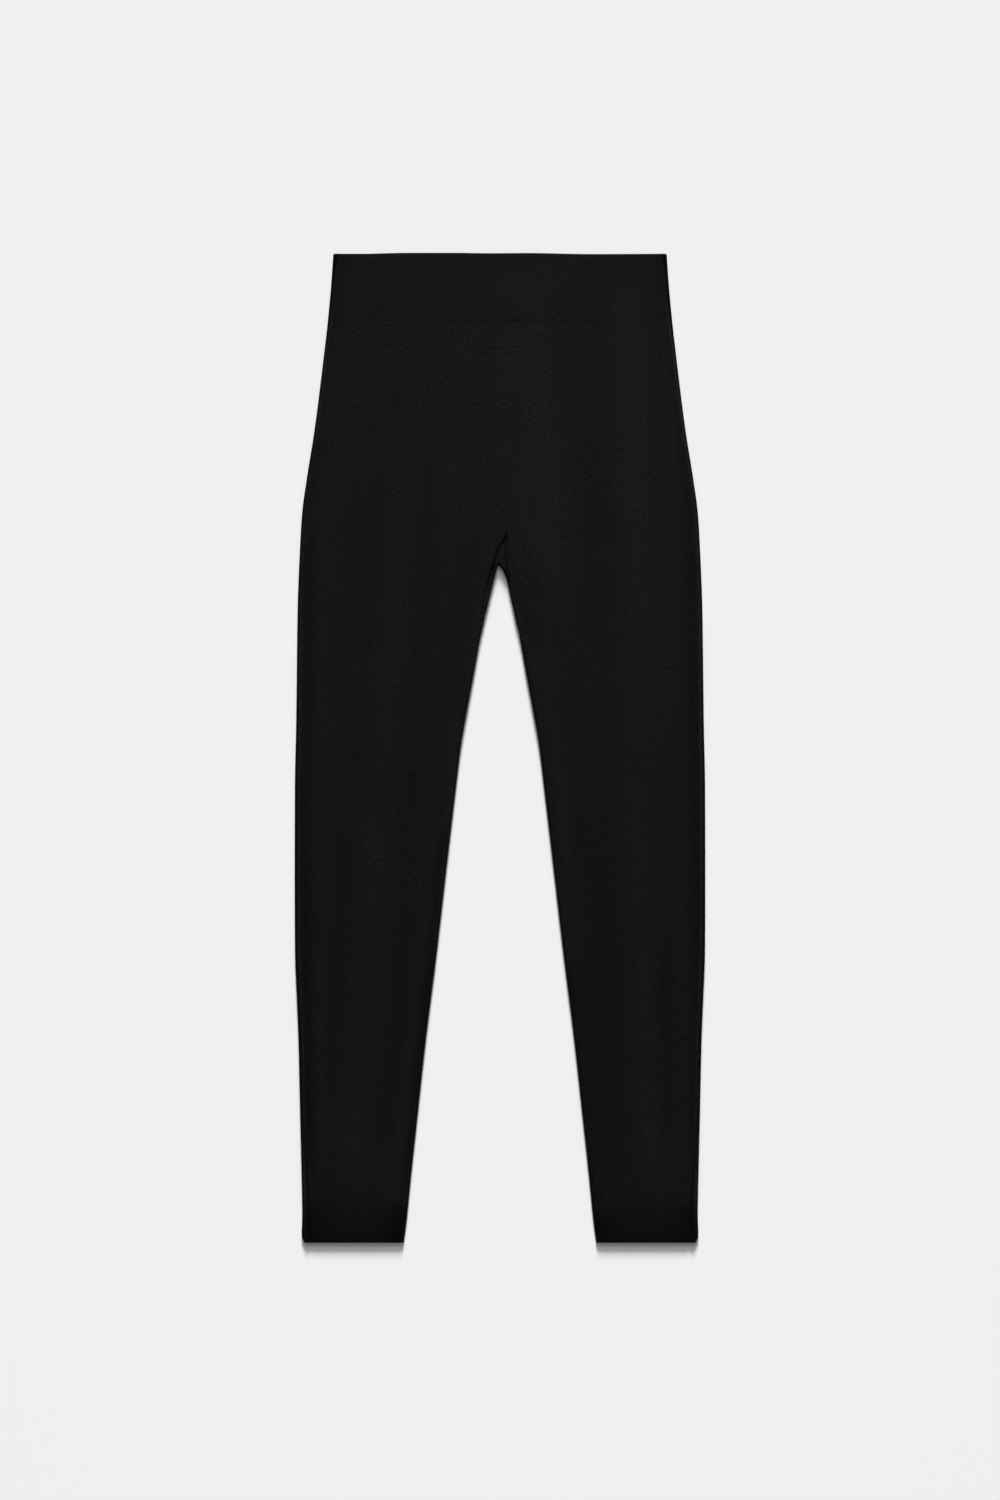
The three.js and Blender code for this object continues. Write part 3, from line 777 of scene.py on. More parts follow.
# Painted shade where the cloth turns round its edges, and painted highlights on the ridges of the
# seams.
def painted_edge_shading(x, drop):
    outer = outer_edge(drop) - abs(x)
    inner = abs(x) - arch_edge(drop)
    insets = {
        "outer": outer,
        "left inner": np.where(x < 0, inner, OTHER_LEG),
        "right inner": np.where(x > 0, inner, OTHER_LEG),
    }
    total = painted_level_shading(drop) * ramp(drop, BAND_LEVEL - 2, BAND_LEVEL + 4)
    for edge, start, stop, inset, width, painted_shading in PAINTED_EDGE_SHADING:
        along = ramp(drop, start - EDGE_FADE, start) * (1 - ramp(drop, stop, stop + EDGE_FADE))
        total = total + painted_shading * along * band(insets[edge] - inset, width)
    # Painted highlights on the ridges of the seams, and painted shade in the side seam's groove.
    total = total + side_ridge_highlight(drop) * band(outer - side_highlight_inset(drop), HIGHLIGHT_WIDTH)
    total = total + side_groove_shade(drop) * band(outer - side_seam(drop), GROOVE_SHADE_WIDTH)
    total = total + hem_ridge_highlight(drop) * band(outer - HEM_HIGHLIGHT_INSET, HIGHLIGHT_WIDTH)
    return total + inseam_ridge_highlight(drop) * band(inner - INSEAM_HIGHLIGHT_INSET, HIGHLIGHT_WIDTH)


def painted_gusset_shade(x, drop):
    """Painted shade along the gusset's seams on the front, in the groove that they pull into the cloth.
    """
    stations = np.linspace(0, LAST_STATION, 20 * LAST_STATION + 1)
    seam = np.array([
        on_fold(gusset_fold(s), [float(gusset_seams["front"](s))], 0)[0][:2] for s in stations
    ])
    left, right, top, bottom = GUSSET_REACH
    near = (x > left) & (x < right) & (drop > top) & (drop < bottom)
    total = 0 * x
    places = np.stack([x[near], drop[near]], -1)
    away = np.linalg.norm(places[:, None] - seam[None], axis=2)
    on_right = away.argmin(axis=1) > np.searchsorted(stations, APEX["front"])
    share = np.where(on_right, RIGHT_SHADE_SHARE, 1)
    total[near] = share * gusset_groove_shade(drop[near]) * band(away.min(axis=1), GUSSET_SHADE_WIDTH)
    return total


def painted_shading_of(points):
    """The painted light and shade of points of the cloth's face, from where they lie."""
    x, drop, height = points.T
    upper = ramp(height, *UPPER_SIDE)
    slope = (front_folds(x + SLOPE_SHADING_STEP, drop) - front_folds(x - SLOPE_SHADING_STEP, drop)) / (2 * SLOPE_SHADING_STEP)
    painted_spots = sum(
        painted_shading * np.exp(-(((x - at_x) / wide) ** 2) - ((drop - at_drop) / high) ** 2)
        for at_x, at_drop, wide, high, painted_shading in PAINTED_SPOTS
    )
    total = painted_edge_shading(x, drop) + painted_gusset_shade(x, drop) + painted_spots + lift(PAINTED_STREAKS, x, drop)
    # Painted light and shade from the slope of the folds, as if they were lit from the right.
    return np.clip(total - SLOPE_SHADING * slope, *PAINTED_SHADING_LIMITS) * upper


hip_painted_shading = painted_shading_of(np.concatenate([row[0] for row in front_rows[20:60]]))
print(f"the hip's tones go from {hip_painted_shading.min():.2f} to {hip_painted_shading.max():.2f}")

# %% [markdown]
# ## From rows to a shell
#
# The outer faces, the inner faces and the strips that close the edges make one closed shell, which
# is what a piece of cloth with a thickness is. A UV map in metres goes with it, so that the knit
# follows the cloth: across is the distance along the row, and down is the drop. On the legs the
# map leans with the leg, because a leg is cut along the knit's own ribs.

# %% Mesh of a piece
KNIT_MAP = "knit_map"
LEAN_FROM = 250
SHARP_ANGLE = math.radians(55)


def leg_lean(side, drop):
    """How far a leg's middle has moved out, from where it begins."""
    middle = (outer_edge(drop) + inner_edge(drop)) / 2
    start = (outer_edge(LEAN_FROM) + inner_edge(LEAN_FROM)) / 2
    return side * (middle - start) * ramp(drop, LEAN_FROM, LEAN_FROM + 150)


def knit_coordinates(side, face):
    """UV of every point of a half, from the distances along its rows."""
    steps = np.linalg.norm(np.diff(face[..., [0, 2]], axis=1), axis=2)
    along = np.concatenate([np.zeros((len(face), 1)), np.cumsum(steps, axis=1)], axis=1)
    middle = face.shape[1] // 2
    across = face[:, [middle], 0] - side * (along - along[:, [middle]])
    drop = face[..., 1]
    return np.stack([across - leg_lean(side, drop), -drop], -1) * MM


def shell_faces(rows, columns, joined, flip):
    """Quads of both faces and the rims of a half, as indices of its outer and inner points."""
    outer = np.arange(rows * columns).reshape(rows, columns)
    inner = outer + rows * columns

    def quads(*corners):
        corners = corners[::-1] if flip else corners
        return np.stack([np.ravel(c) for c in corners], -1)

    def rim(a, b):
        return quads(outer[a], outer[b], inner[b], inner[a])

    every = np.arange
    parts = [
        quads(outer[:-1, :-1], outer[1:, :-1], outer[1:, 1:], outer[:-1, 1:]),
        quads(inner[:-1, :-1], inner[:-1, 1:], inner[1:, 1:], inner[1:, :-1]),
        rim((every(1, rows), 0), (every(rows - 1), 0)),
        rim((every(joined - 1, rows - 1), -1), (every(joined, rows), -1)),
        rim((0, every(columns - 1)), (0, every(1, columns))),
        rim((-1, every(1, columns)), (-1, every(columns - 1))),
    ]
    return np.concatenate(parts)


def shell_object(name, halves):
    """Joins the halves of a piece into one closed mesh, in metres, and returns its object."""
    points, maps, tones, faces = [], [], [], []
    offset = 0
    for rows, joined, side, flip in halves:
        outer, inner = (np.array([row[k] for row in rows]) for k in range(2))
        uv = knit_coordinates(side, outer)
        quads = shell_faces(*outer.shape[:2], joined, flip) + offset
        points += [outer.reshape(-1, 3), inner.reshape(-1, 3)]
        maps += [uv.reshape(-1, 2)] * 2
        tones += [painted_shading_of(points[-2]), np.zeros(inner.shape[0] * inner.shape[1])]
        faces.append(quads)
        offset += 2 * outer.shape[0] * outer.shape[1]
    points = np.concatenate(points)
    points = np.stack([points[:, 0], LENGTH / 2 - points[:, 1], points[:, 2]], -1)
    faces = np.concatenate(faces)
    _, first, shared = np.unique(points.round(4), axis=0, return_index=True, return_inverse=True)
    shared = shared.ravel()

    mesh = bpy.data.meshes.new(name)
    mesh.from_pydata((points[first] * MM).tolist(), [], shared[faces].tolist())
    uv_layer = mesh.uv_layers.new(name=KNIT_MAP)
    uv_layer.data.foreach_set("uv", np.concatenate(maps)[faces.ravel()].astype(np.float32).ravel())
    painted_shading = mesh.attributes.new(PAINTED_SHADING_NAME, "FLOAT", "POINT")
    painted_shading.data.foreach_set("value", np.concatenate(tones)[first].astype(np.float32))
    mesh.validate()
    mesh.shade_smooth()
    mesh.set_sharp_from_angle(angle=SHARP_ANGLE)
    piece = bpy.data.objects.new(name, mesh)
    bpy.context.scene.collection.objects.link(piece)
    mesh.calc_loop_triangles()
    area = sum(face.area for face in mesh.polygons) / 2
    print(f"{name}: {len(mesh.loop_triangles)} triangles, {area:.4f} square metres of cloth")
    return piece


# %% [markdown]
# ## The waistband
#
# The real waistband is a wide band of the same knit, folded double over the waist edge and sewn to
# the body along its lower edge. It has a front and a back, joined by the side seams, which roll
# onto the front near the top. The fold makes its upper edge soft and round.

# %% Make the waistband
waistband_front = shell_object("waistband_front_cloth", [
    (*half_band(-1, front_row), -1, False),
    (*half_band(1, front_row), 1, True),
])
waistband_back = shell_object("waistband_back_cloth", [
    (*half_band(-1, back_row), -1, True),
    (*half_band(1, back_row), 1, False),
])

# %% [markdown]
# ## The front and the back
#
# Each is one piece with both legs, and there is no seam down its middle. The back is wider: it
# comes round both folds, and the seams lie on the front's side of them.

# %% Make the front and the back
front_cloth = shell_object("front_cloth", [
    (*half_panel(-1, front_row, "front"), -1, False),
    (*half_panel(1, front_row, "front"), 1, True),
])
back_cloth = shell_object("back_cloth", [
    (*half_panel(-1, back_row, "back"), -1, True),
    (*half_panel(1, back_row, "back"), 1, False),
])

# %% [markdown]
# ## The gusset
#
# The gusset's rows cross the fold of the crotch, from the front seam round to the back seam. Their
# points crowd at the fold by a hyperbolic sine, which is even there and opens out towards the ends.

# %% Make the gusset
GUSSET_COLUMNS = 26


def gusset_row(station):
    fold = gusset_fold(station)
    ends = {seam: gusset_seam(seam, station, -1) for seam in APEX}
    skins = [float(ends[seam].get("skin", gusset_seams[seam](station))) for seam in APEX]
    first, last = (math.asinh(skin / FOLD_RADIUS) for skin in skins)
    skin = FOLD_RADIUS * np.sinh(np.linspace(first, last, GUSSET_COLUMNS))
    over = np.minimum(skins[0] - skin, skin - skins[1])
    layers = []
    for depth in (GUSSET_SEWN * seam_sink(over), CLOTH + 0 * over):
        points = on_fold(fold, skin, depth)
        for seam, column, face in (("front", 0, on_front), ("back", -1, on_underside)):
            if "fold" not in ends[seam]:
                x, drop = ends[seam]["x"], ends[seam]["drop"]
                points[column] = face(np.array([x]), drop, depth[column])[0]
        layers.append(points)
    return layers


gusset_stations = np.linspace(0, LAST_STATION, LAST_STATION * STATIONS_PER_ROW + 1)
gusset_cloth = shell_object(
    "gusset_cloth",
    [([gusset_row(station) for station in gusset_stations], 1, 1, True)],
)

# %% [markdown]
# ## Stitches
#
# The seams of knitwear are sewn with a stretch stitch, and a short thread shows across the seam
# every few millimetres. There are well over a thousand of them, so they are made by Geometry Nodes:
# a tree resamples each seam's line at the stitch pitch and sets one small arched thread on each
# point, turned so that it spans the seam and stands out from the cloth. Each seam's line is a
# string of points from the same helpers as the cloth, a little way down in the ditch, and an
# attribute on it says which way is out.

# %% Lines of the seams
DITCH = 0.34
WAIST_DITCH = 0.5
GUSSET_DITCH = 0.65
SEAM_LINE_STEP = 3.0
END_CLEARANCE = 1.5


def line_of(place, ditch=DITCH):
    """Points of a line in the ditch, and the way out of the cloth at each of them."""
    points, surface = place(ditch), place(0.0)
    out = surface - place(1.0)
    return points, out / np.linalg.norm(out, axis=1, keepdims=True)


def along_fold(fold_at, skin_of, levels, ditch=DITCH):
    """A seam that runs down a fold."""
    return line_of(lambda depth: np.array([
        on_fold(fold_at(level), [skin_of(level)], depth)[0] for level in levels
    ]), ditch)


def waist_line(make_row):
    """The seam under the waistband, over the front or round the back, from left to right."""
    end = {"x": 0.0, "drop": BAND_LEVEL, "even": 1, "sewn": 0}

    def place(depth):
        left, right = (make_row(side, BAND_LEVEL, end, (depth, depth))[1] for side in (-1, 1))
        points = np.concatenate([left, right[-2::-1]])
        points[:, 1] = band_seam(points[:, 0])
        return points

    return line_of(place, WAIST_DITCH)


def levels_between(low, high):
    return spaced(low + END_CLEARANCE, high - END_CLEARANCE, SEAM_LINE_STEP)


seam_lines = {"waist_seam_stitches": [waist_line(front_row), waist_line(back_row)]}
seam_lines["side_seam_stitches"] = [
    along_fold(
        lambda drop, side=side: outer_fold(side, drop),
        lambda drop: skin_at(float(side_seam(drop))),
        levels_between(*stretch),
    )
    for side in (-1, 1) for stretch in ((0, BAND_LEVEL), (BAND_LEVEL, LENGTH))
]
seam_lines["inseam_stitches"] = [
    along_fold(
        lambda drop, side=side: inner_fold(side, drop),
        lambda drop, side=side: inseam(side, drop),
        levels_between(LEG_TOP, LENGTH),
    )
    for side in (-1, 1)
]
seam_lines["gusset_stitches"] = [
    along_fold(
        gusset_fold,
        lambda station, seam=seam: float(gusset_seams[seam](station)),
        stations,
        GUSSET_DITCH,
    )
    for seam in APEX
    for stations in (
        np.linspace(0, APEX[seam] - 0.1, 50),
        np.linspace(APEX[seam] + 0.1, LAST_STATION, 50),
    )
]
print({name: len(lines) for name, lines in seam_lines.items()}, "lines of stitches")

# %% [markdown]
# The tree has named inputs, so one tree serves every seam. A modifier knows its inputs only by
# their identifiers, which the helper below looks up by name. The seed is fixed, so the small
# unevenness of hand-guided sewing is the same on each run.

# %% Tree of the stitches
STITCH_INPUTS = {
    "Pitch": 2.6 * MM,
    "Width": 1.5 * MM,
    "Arch": 0.2 * MM,
    "Thread radius": 0.17 * MM,
    "Unevenness": 0.12,
}
OUT_NAME = "out"
THREAD_SIDES = 5
THREAD_BENDS = 4
STITCH_SEED = 7


def add_node(tree, kind, **settings):
    node = tree.nodes.new(kind)
    for name, value in settings.items():
        setattr(node, name, value)
    return node


def connect(tree, value, socket):
    """Links a socket to another one, or gives it a plain value."""
    if isinstance(value, bpy.types.NodeSocket):
        tree.links.new(value, socket)
    else:
        socket.default_value = value


def math_node(tree, operation, *values, kind="ShaderNodeMath"):
    node = add_node(tree, kind, operation=operation)
    for value, socket in zip(values, node.inputs):
        connect(tree, value, socket)
    return node.outputs[0]


def vector_of(tree, *parts):
    node = add_node(tree, "ShaderNodeCombineXYZ")
    for value, socket in zip(parts, node.inputs):
        connect(tree, value, socket)
    return node.outputs[0]


def stitch_tree(thread):
    tree = bpy.data.node_groups.new("seam stitches", "GeometryNodeTree")
    tree.interface.new_socket("Seam line", in_out="INPUT", socket_type="NodeSocketGeometry")
    for name, value in STITCH_INPUTS.items():
        socket = tree.interface.new_socket(name, in_out="INPUT", socket_type="NodeSocketFloat")
        socket.default_value = value
    tree.interface.new_socket("Stitches", in_out="OUTPUT", socket_type="NodeSocketGeometry")
    given = add_node(tree, "NodeGroupInput").outputs

    line = add_node(tree, "GeometryNodeMeshToCurve")
    connect(tree, given["Seam line"], line.inputs["Mesh"])
    evenly = add_node(tree, "GeometryNodeResampleCurve", mode="LENGTH")
    connect(tree, line.outputs["Curve"], evenly.inputs["Curve"])
    connect(tree, given["Pitch"], evenly.inputs["Length"])

    half_width = math_node(tree, "MULTIPLY", given["Width"], 0.5)
    left = math_node(tree, "MULTIPLY", half_width, -1.0)
    bow = math_node(tree, "MULTIPLY", given["Arch"], 2.0)
    thread_line = add_node(tree, "GeometryNodeCurveQuadraticBezier")
    thread_line.inputs["Resolution"].default_value = THREAD_BENDS
    connect(tree, vector_of(tree, left, 0.0, 0.0), thread_line.inputs["Start"])
    connect(tree, vector_of(tree, 0.0, 0.0, bow), thread_line.inputs["Middle"])
    connect(tree, vector_of(tree, half_width, 0.0, 0.0), thread_line.inputs["End"])
    section = add_node(tree, "GeometryNodeCurvePrimitiveCircle")
    section.inputs["Resolution"].default_value = THREAD_SIDES
    connect(tree, given["Thread radius"], section.inputs["Radius"])
    stitch = add_node(tree, "GeometryNodeCurveToMesh")
    connect(tree, thread_line.outputs["Curve"], stitch.inputs["Curve"])
    connect(tree, section.outputs["Curve"], stitch.inputs["Profile Curve"])
    stitch.inputs["Fill Caps"].default_value = True

    out = add_node(tree, "GeometryNodeInputNamedAttribute", data_type="FLOAT_VECTOR")
    out.inputs["Name"].default_value = OUT_NAME
    down_seam = add_node(tree, "GeometryNodeInputTangent")
    turn = add_node(tree, "FunctionNodeAxesToRotation", primary_axis="Z", secondary_axis="Y")
    connect(tree, out.outputs["Attribute"], turn.inputs["Primary Axis"])
    connect(tree, down_seam.outputs["Tangent"], turn.inputs["Secondary Axis"])
    chance = add_node(tree, "FunctionNodeRandomValue", data_type="FLOAT")
    least = math_node(tree, "SUBTRACT", 1.0, given["Unevenness"])
    most = math_node(tree, "ADD", 1.0, given["Unevenness"])
    low, high = (s for s in chance.inputs if s.enabled and s.name in ("Min", "Max"))
    connect(tree, least, low)
    connect(tree, most, high)
    chance.inputs["Seed"].default_value = STITCH_SEED
    size = next(s for s in chance.outputs if s.enabled)

    copies = add_node(tree, "GeometryNodeInstanceOnPoints")
    connect(tree, evenly.outputs["Curve"], copies.inputs["Points"])
    connect(tree, stitch.outputs["Mesh"], copies.inputs["Instance"])
    connect(tree, turn.outputs["Rotation"], copies.inputs["Rotation"])
    connect(tree, size, copies.inputs["Scale"])
    real = add_node(tree, "GeometryNodeRealizeInstances")
    connect(tree, copies.outputs["Instances"], real.inputs["Geometry"])
    painted = add_node(tree, "GeometryNodeSetMaterial")
    connect(tree, real.outputs["Geometry"], painted.inputs["Geometry"])
    painted.inputs["Material"].default_value = thread
    result = add_node(tree, "NodeGroupOutput")
    connect(tree, painted.outputs["Geometry"], result.inputs["Stitches"])
    return tree


# %% [markdown]
# ## The knit
#
# Seen close, the face of this knit is fine columns of small V-shaped stitches. Seen from a step
# away it is matt black with a slight grain. Both are procedural, and both are node groups, so that
# the body and the waistband share them with their own values. An image of a knit would tile and
# blur, while these stay sharp at any distance. The groups put out only shades and heights that
# vary, and the shaders stay in the materials. The stitches' shade is painted shade, darker in the
# grooves between the loops, and a third group paints shade towards the hem.

# %% Node groups of the knit
def shader_group(name, inputs, outputs):
    """A new shader node group, the sockets that it is given, and its output node."""
    tree = bpy.data.node_groups.new(name, "ShaderNodeTree")
    for label, kind, value in inputs:
        socket = tree.interface.new_socket(label, in_out="INPUT", socket_type=f"NodeSocket{kind}")
        socket.default_value = value
    for label in outputs:
        tree.interface.new_socket(label, in_out="OUTPUT", socket_type="NodeSocketFloat")
    return tree, add_node(tree, "NodeGroupInput").outputs, add_node(tree, "NodeGroupOutput").inputs


def knit_group():
    """Columns of V-shaped stitches on the cloth's own map, with painted shade in the grooves between
    them.
    """
    tree, given, result = shader_group(
        "knit stitches",
        [("Map", "Vector", (0, 0, 0)), ("Column pitch", "Float", 0.001), ("Row pitch", "Float", 0.001)],
        ["Height", "Shade"],
    )
    apart = add_node(tree, "ShaderNodeSeparateXYZ")
    connect(tree, given["Map"], apart.inputs[0])
    columns = math_node(tree, "DIVIDE", apart.outputs["X"], given["Column pitch"])
    rows = math_node(tree, "DIVIDE", apart.outputs["Y"], given["Row pitch"])
    within = math_node(tree, "FRACT", columns)
    from_middle = math_node(tree, "ABSOLUTE", math_node(tree, "SUBTRACT", within, 0.5))
    slanted = math_node(tree, "ADD", rows, math_node(tree, "MULTIPLY", from_middle, 1.6))
    wave = math_node(tree, "SINE", math_node(tree, "MULTIPLY", slanted, 2 * math.pi))
    loops = math_node(tree, "MULTIPLY_ADD", wave, 0.5, 0.5)
    groove = math_node(tree, "SINE", math_node(tree, "MULTIPLY", within, math.pi))
    height = math_node(tree, "MULTIPLY", math_node(tree, "POWER", groove, 0.6), loops)
    connect(tree, height, result["Height"])
    # Painted shade: the lower the face between the loops, the darker the colour.
    connect(tree, math_node(tree, "MULTIPLY_ADD", height, 0.36, 0.88), result["Shade"])
    return tree


def grain_group():
    """Fine grain, as yarn has, and broad clouds, as handled cloth has."""
    tree, given, result = shader_group(
        "knit grain",
        [
            ("Map", "Vector", (0, 0, 0)), ("Grain size", "Float", 0.001),
            ("Grain depth", "Float", 0.1), ("Cloud depth", "Float", 0.1),
        ],
        ["Shade"],
    )
    shades = []
    stretched = math_node(tree, "MULTIPLY", given["Map"], (1, 0.8, 1), kind="ShaderNodeVectorMath")
    for detail, scale, depth in (
        (1.0, math_node(tree, "DIVIDE", 1.0, given["Grain size"]), given["Grain depth"]),
        (2.0, 22.0, given["Cloud depth"]),
    ):
        noise = add_node(tree, "ShaderNodeTexNoise")
        connect(tree, stretched, noise.inputs["Vector"])
        connect(tree, scale, noise.inputs["Scale"])
        noise.inputs["Detail"].default_value = detail
        spread = math_node(tree, "SUBTRACT", noise.outputs[0], 0.5)
        shades.append(math_node(tree, "MULTIPLY_ADD", spread, depth, 1.0))
    connect(tree, math_node(tree, "MULTIPLY", *shades), result["Shade"])
    return tree


def hem_group():
    """Painted shade: the knit is made darker towards the hem, where its face rolls down away from the
    light.
    """
    tree, given, result = shader_group(
        "painted hem shade",
        [("Map", "Vector", (0, 0, 0)), ("From", "Float", 0.9), ("To", "Float", 0.95),
         ("Least", "Float", 0.7)],
        ["Shade"],
    )
    apart = add_node(tree, "ShaderNodeSeparateXYZ")
    connect(tree, given["Map"], apart.inputs[0])
    drop = math_node(tree, "MULTIPLY", apart.outputs["Y"], -1.0)
    ranged = add_node(tree, "ShaderNodeMapRange", interpolation_type="SMOOTHSTEP")
    for name, value in (("Value", drop), ("From Min", given["From"]), ("From Max", given["To"])):
        connect(tree, value, ranged.inputs[name])
    ranged.inputs["To Min"].default_value = 1.0
    connect(tree, given["Least"], ranged.inputs["To Max"])
    connect(tree, ranged.outputs[0], result["Shade"])
    return tree


knit_stitches, knit_grain, painted_hem_shade = knit_group(), grain_group(), hem_group()
print("node groups:", knit_stitches.name, knit_grain.name, painted_hem_shade.name)

# %% [markdown]
# ## Materials
#
# Black knit gives back about a hundredth of the light, with no gloss to speak of: a rough surface,
# a low specular level and a breath of sheen from the fibre ends. The waistband is the same knit,
# doubled and pressed, so its columns are a little closer, and its colour is a little darker, as
# painted shade that offsets the stronger light on it. The thread is rounder and shinier than
# the knit, which is why single stitches show as small lights.

# %% Make the materials
KNIT_BASE = 0.0053
# Painted shade: the waistband's colour is a little darker than the body's, to offset the stronger light
# on it.
SHADED_BAND_BASE = 0.0051
THREAD_BASE = 0.006
KNIT_ROUGHNESS = 0.88
KNIT_SPECULAR = 0.02
KNIT_SHEEN = 0.004
SHEEN_ROUGHNESS = 0.5
BUMP_STRENGTH = 0.35
BUMP_DISTANCE = 0.12 * MM
THREAD_ROUGHNESS = 0.6
THREAD_SPECULAR = 0.08


def use_group(tree, group, **values):
    node = add_node(tree, "ShaderNodeGroup", node_tree=group)
    for name, value in values.items():
        connect(tree, value, node.inputs[name.replace("_", " ")])
    return node.outputs


def new_material(name):
    material = bpy.data.materials.new(name)
    material.use_nodes = True
    return material, material.node_tree, material.node_tree.nodes["Principled BSDF"].inputs


def shaded_color(tree, base, shade):
    scaled = add_node(tree, "ShaderNodeVectorMath", operation="SCALE")
    scaled.inputs[0].default_value = base
    connect(tree, shade, scaled.inputs["Scale"])
    return scaled.outputs[0]


def knit_material(name, base, column_pitch, row_pitch):
    material, tree, shader = new_material(name)
    uv = add_node(tree, "ShaderNodeUVMap", uv_map=KNIT_MAP).outputs[0]
    loops = use_group(tree, knit_stitches, Map=uv, Column_pitch=column_pitch, Row_pitch=row_pitch)
    grain = use_group(
        tree, knit_grain, Map=uv, Grain_size=2.5 * MM, Grain_depth=1.45, Cloud_depth=0.16,
    )
    # Painted shade, darker towards the hem.
    hem = use_group(tree, painted_hem_shade, Map=uv, From=0.895, To=0.955, Least=0.63)
    # Painted light and shade: the mesh's painted shading and the painted hem shade scale the knit's
    # colour.
    painted_shading = add_node(tree, "ShaderNodeAttribute", attribute_name=PAINTED_SHADING_NAME).outputs["Fac"]
    painted_light_and_shade = math_node(tree, "MULTIPLY", hem["Shade"], math_node(tree, "ADD", painted_shading, 1.0))
    shade = math_node(tree, "MULTIPLY", loops["Shade"], grain["Shade"])
    shade = math_node(tree, "MULTIPLY", shade, painted_light_and_shade)
    connect(tree, shaded_color(tree, (base, base, base), shade), shader["Base Color"])
    rough = math_node(tree, "MULTIPLY_ADD", grain["Shade"], 0.06, KNIT_ROUGHNESS - 0.06)
    connect(tree, rough, shader["Roughness"])
    bump = add_node(tree, "ShaderNodeBump")
    bump.inputs["Strength"].default_value = BUMP_STRENGTH
    bump.inputs["Distance"].default_value = BUMP_DISTANCE
    connect(tree, loops["Height"], bump.inputs["Height"])
    connect(tree, bump.outputs[0], shader["Normal"])
    shader["Specular IOR Level"].default_value = KNIT_SPECULAR
    shader["Sheen Weight"].default_value = KNIT_SHEEN
    shader["Sheen Roughness"].default_value = SHEEN_ROUGHNESS
    return material


def thread_material():
    material, tree, shader = new_material("black_thread")
    place = add_node(tree, "ShaderNodeTexCoord").outputs["Object"]
    grain = use_group(
        tree, knit_grain, Map=place, Grain_size=0.4 * MM, Grain_depth=0.8, Cloud_depth=0.1,
    )
    color = shaded_color(tree, (THREAD_BASE,) * 3, grain["Shade"])
    connect(tree, color, shader["Base Color"])
    shader["Roughness"].default_value = THREAD_ROUGHNESS
    shader["Specular IOR Level"].default_value = THREAD_SPECULAR
    return material


body_knit = knit_material("black_body_knit", KNIT_BASE, 0.92 * MM, 0.68 * MM)
band_knit = knit_material("black_band_knit", SHADED_BAND_BASE, 0.86 * MM, 0.64 * MM)
black_thread = thread_material()
for piece in (waistband_front, waistband_back):
    piece.data.materials.append(band_knit)
for piece in (front_cloth, back_cloth, gusset_cloth):
    piece.data.materials.append(body_knit)
print("materials:", body_knit.name, band_knit.name, black_thread.name)

# %% [markdown]
# ## Sew the seams
#
# Each seam's line becomes a mesh of points and edges. The modifier turns it into stitches, and its
# result is kept as a plain mesh, because a model that is handed on holds no live modifiers.

# %% Make the stitches
def input_name(tree, label):
    """The identifier of a tree's input, by which a modifier knows it."""
    return next(
        item.identifier for item in tree.interface.items_tree
        if item.item_type == "SOCKET" and item.in_out == "INPUT" and item.name == label
    )


def seam_mesh(name, lines):
    """A mesh of the seam's lines, with the way out of the cloth on each point."""
    points = np.concatenate([line for line, _ in lines])
    out = np.concatenate([ways for _, ways in lines]) * (1, -1, 1)
    starts = np.cumsum([0] + [len(line) for line, _ in lines])
    edges = [(i, i + 1) for a, b in zip(starts, starts[1:]) for i in range(a, b - 1)]
    places = np.stack([points[:, 0], LENGTH / 2 - points[:, 1], points[:, 2]], -1) * MM
    mesh = bpy.data.meshes.new(name)
    mesh.from_pydata(places.tolist(), edges, [])
    attribute = mesh.attributes.new(OUT_NAME, "FLOAT_VECTOR", "POINT")
    attribute.data.foreach_set("vector", out.astype(np.float32).ravel())
    return mesh


def sew(name, lines, tree):
    line = bpy.data.objects.new(name + "_line", seam_mesh(name + "_line", lines))
    bpy.context.scene.collection.objects.link(line)
    modifier = line.modifiers.new("stitches", "NODES")
    modifier.node_group = tree
    for label, value in STITCH_INPUTS.items():
        modifier[input_name(tree, label)] = value
    evaluated = line.evaluated_get(bpy.context.evaluated_depsgraph_get())
    mesh = bpy.data.meshes.new_from_object(evaluated)
    mesh.name = name
    mesh.shade_smooth()
    stitches = bpy.data.objects.new(name, mesh)
    bpy.context.scene.collection.objects.link(stitches)
    bpy.data.objects.remove(line)
    mesh.calc_loop_triangles()
    print(f"{name}: {len(mesh.loop_triangles)} triangles")
    return stitches


stitches_tree = stitch_tree(black_thread)
seams = {name: sew(name, lines, stitches_tree) for name, lines in seam_lines.items()}

# %% [markdown]
# ## Put the shells in place of the solids
#
# A shell replaces the solid that it dresses, and everything moves with the one body that the
# leggings are. Each sheet's size as it was cut, without its seam allowances, is printed. The gusset
# is sewn in between the back's edges.

# %% Tie the pieces to the model
def half_skin(drop):
    """From the middle line over the front to the fold's edge."""
    return float(outer_edge(drop)) - FOLD_RADIUS + FOLD_ARC


WIDEST = 600
panel_length = (LENGTH - BAND_LEVEL) * MM
band_width = 2 * half_skin(BAND_LEVEL) * MM
front_width = 2 * float(outer_edge(WIDEST) - side_seam(WIDEST)) * MM
back_width = 2 * half_skin(WIDEST) * MM + 2 * skin_at(float(side_seam(WIDEST))) * MM
band_back_width = band_width + 2 * skin_at(float(side_seam(BAND_LEVEL))) * MM


def cut_area(piece):
    return sum(face.area for face in piece.data.polygons) / 2


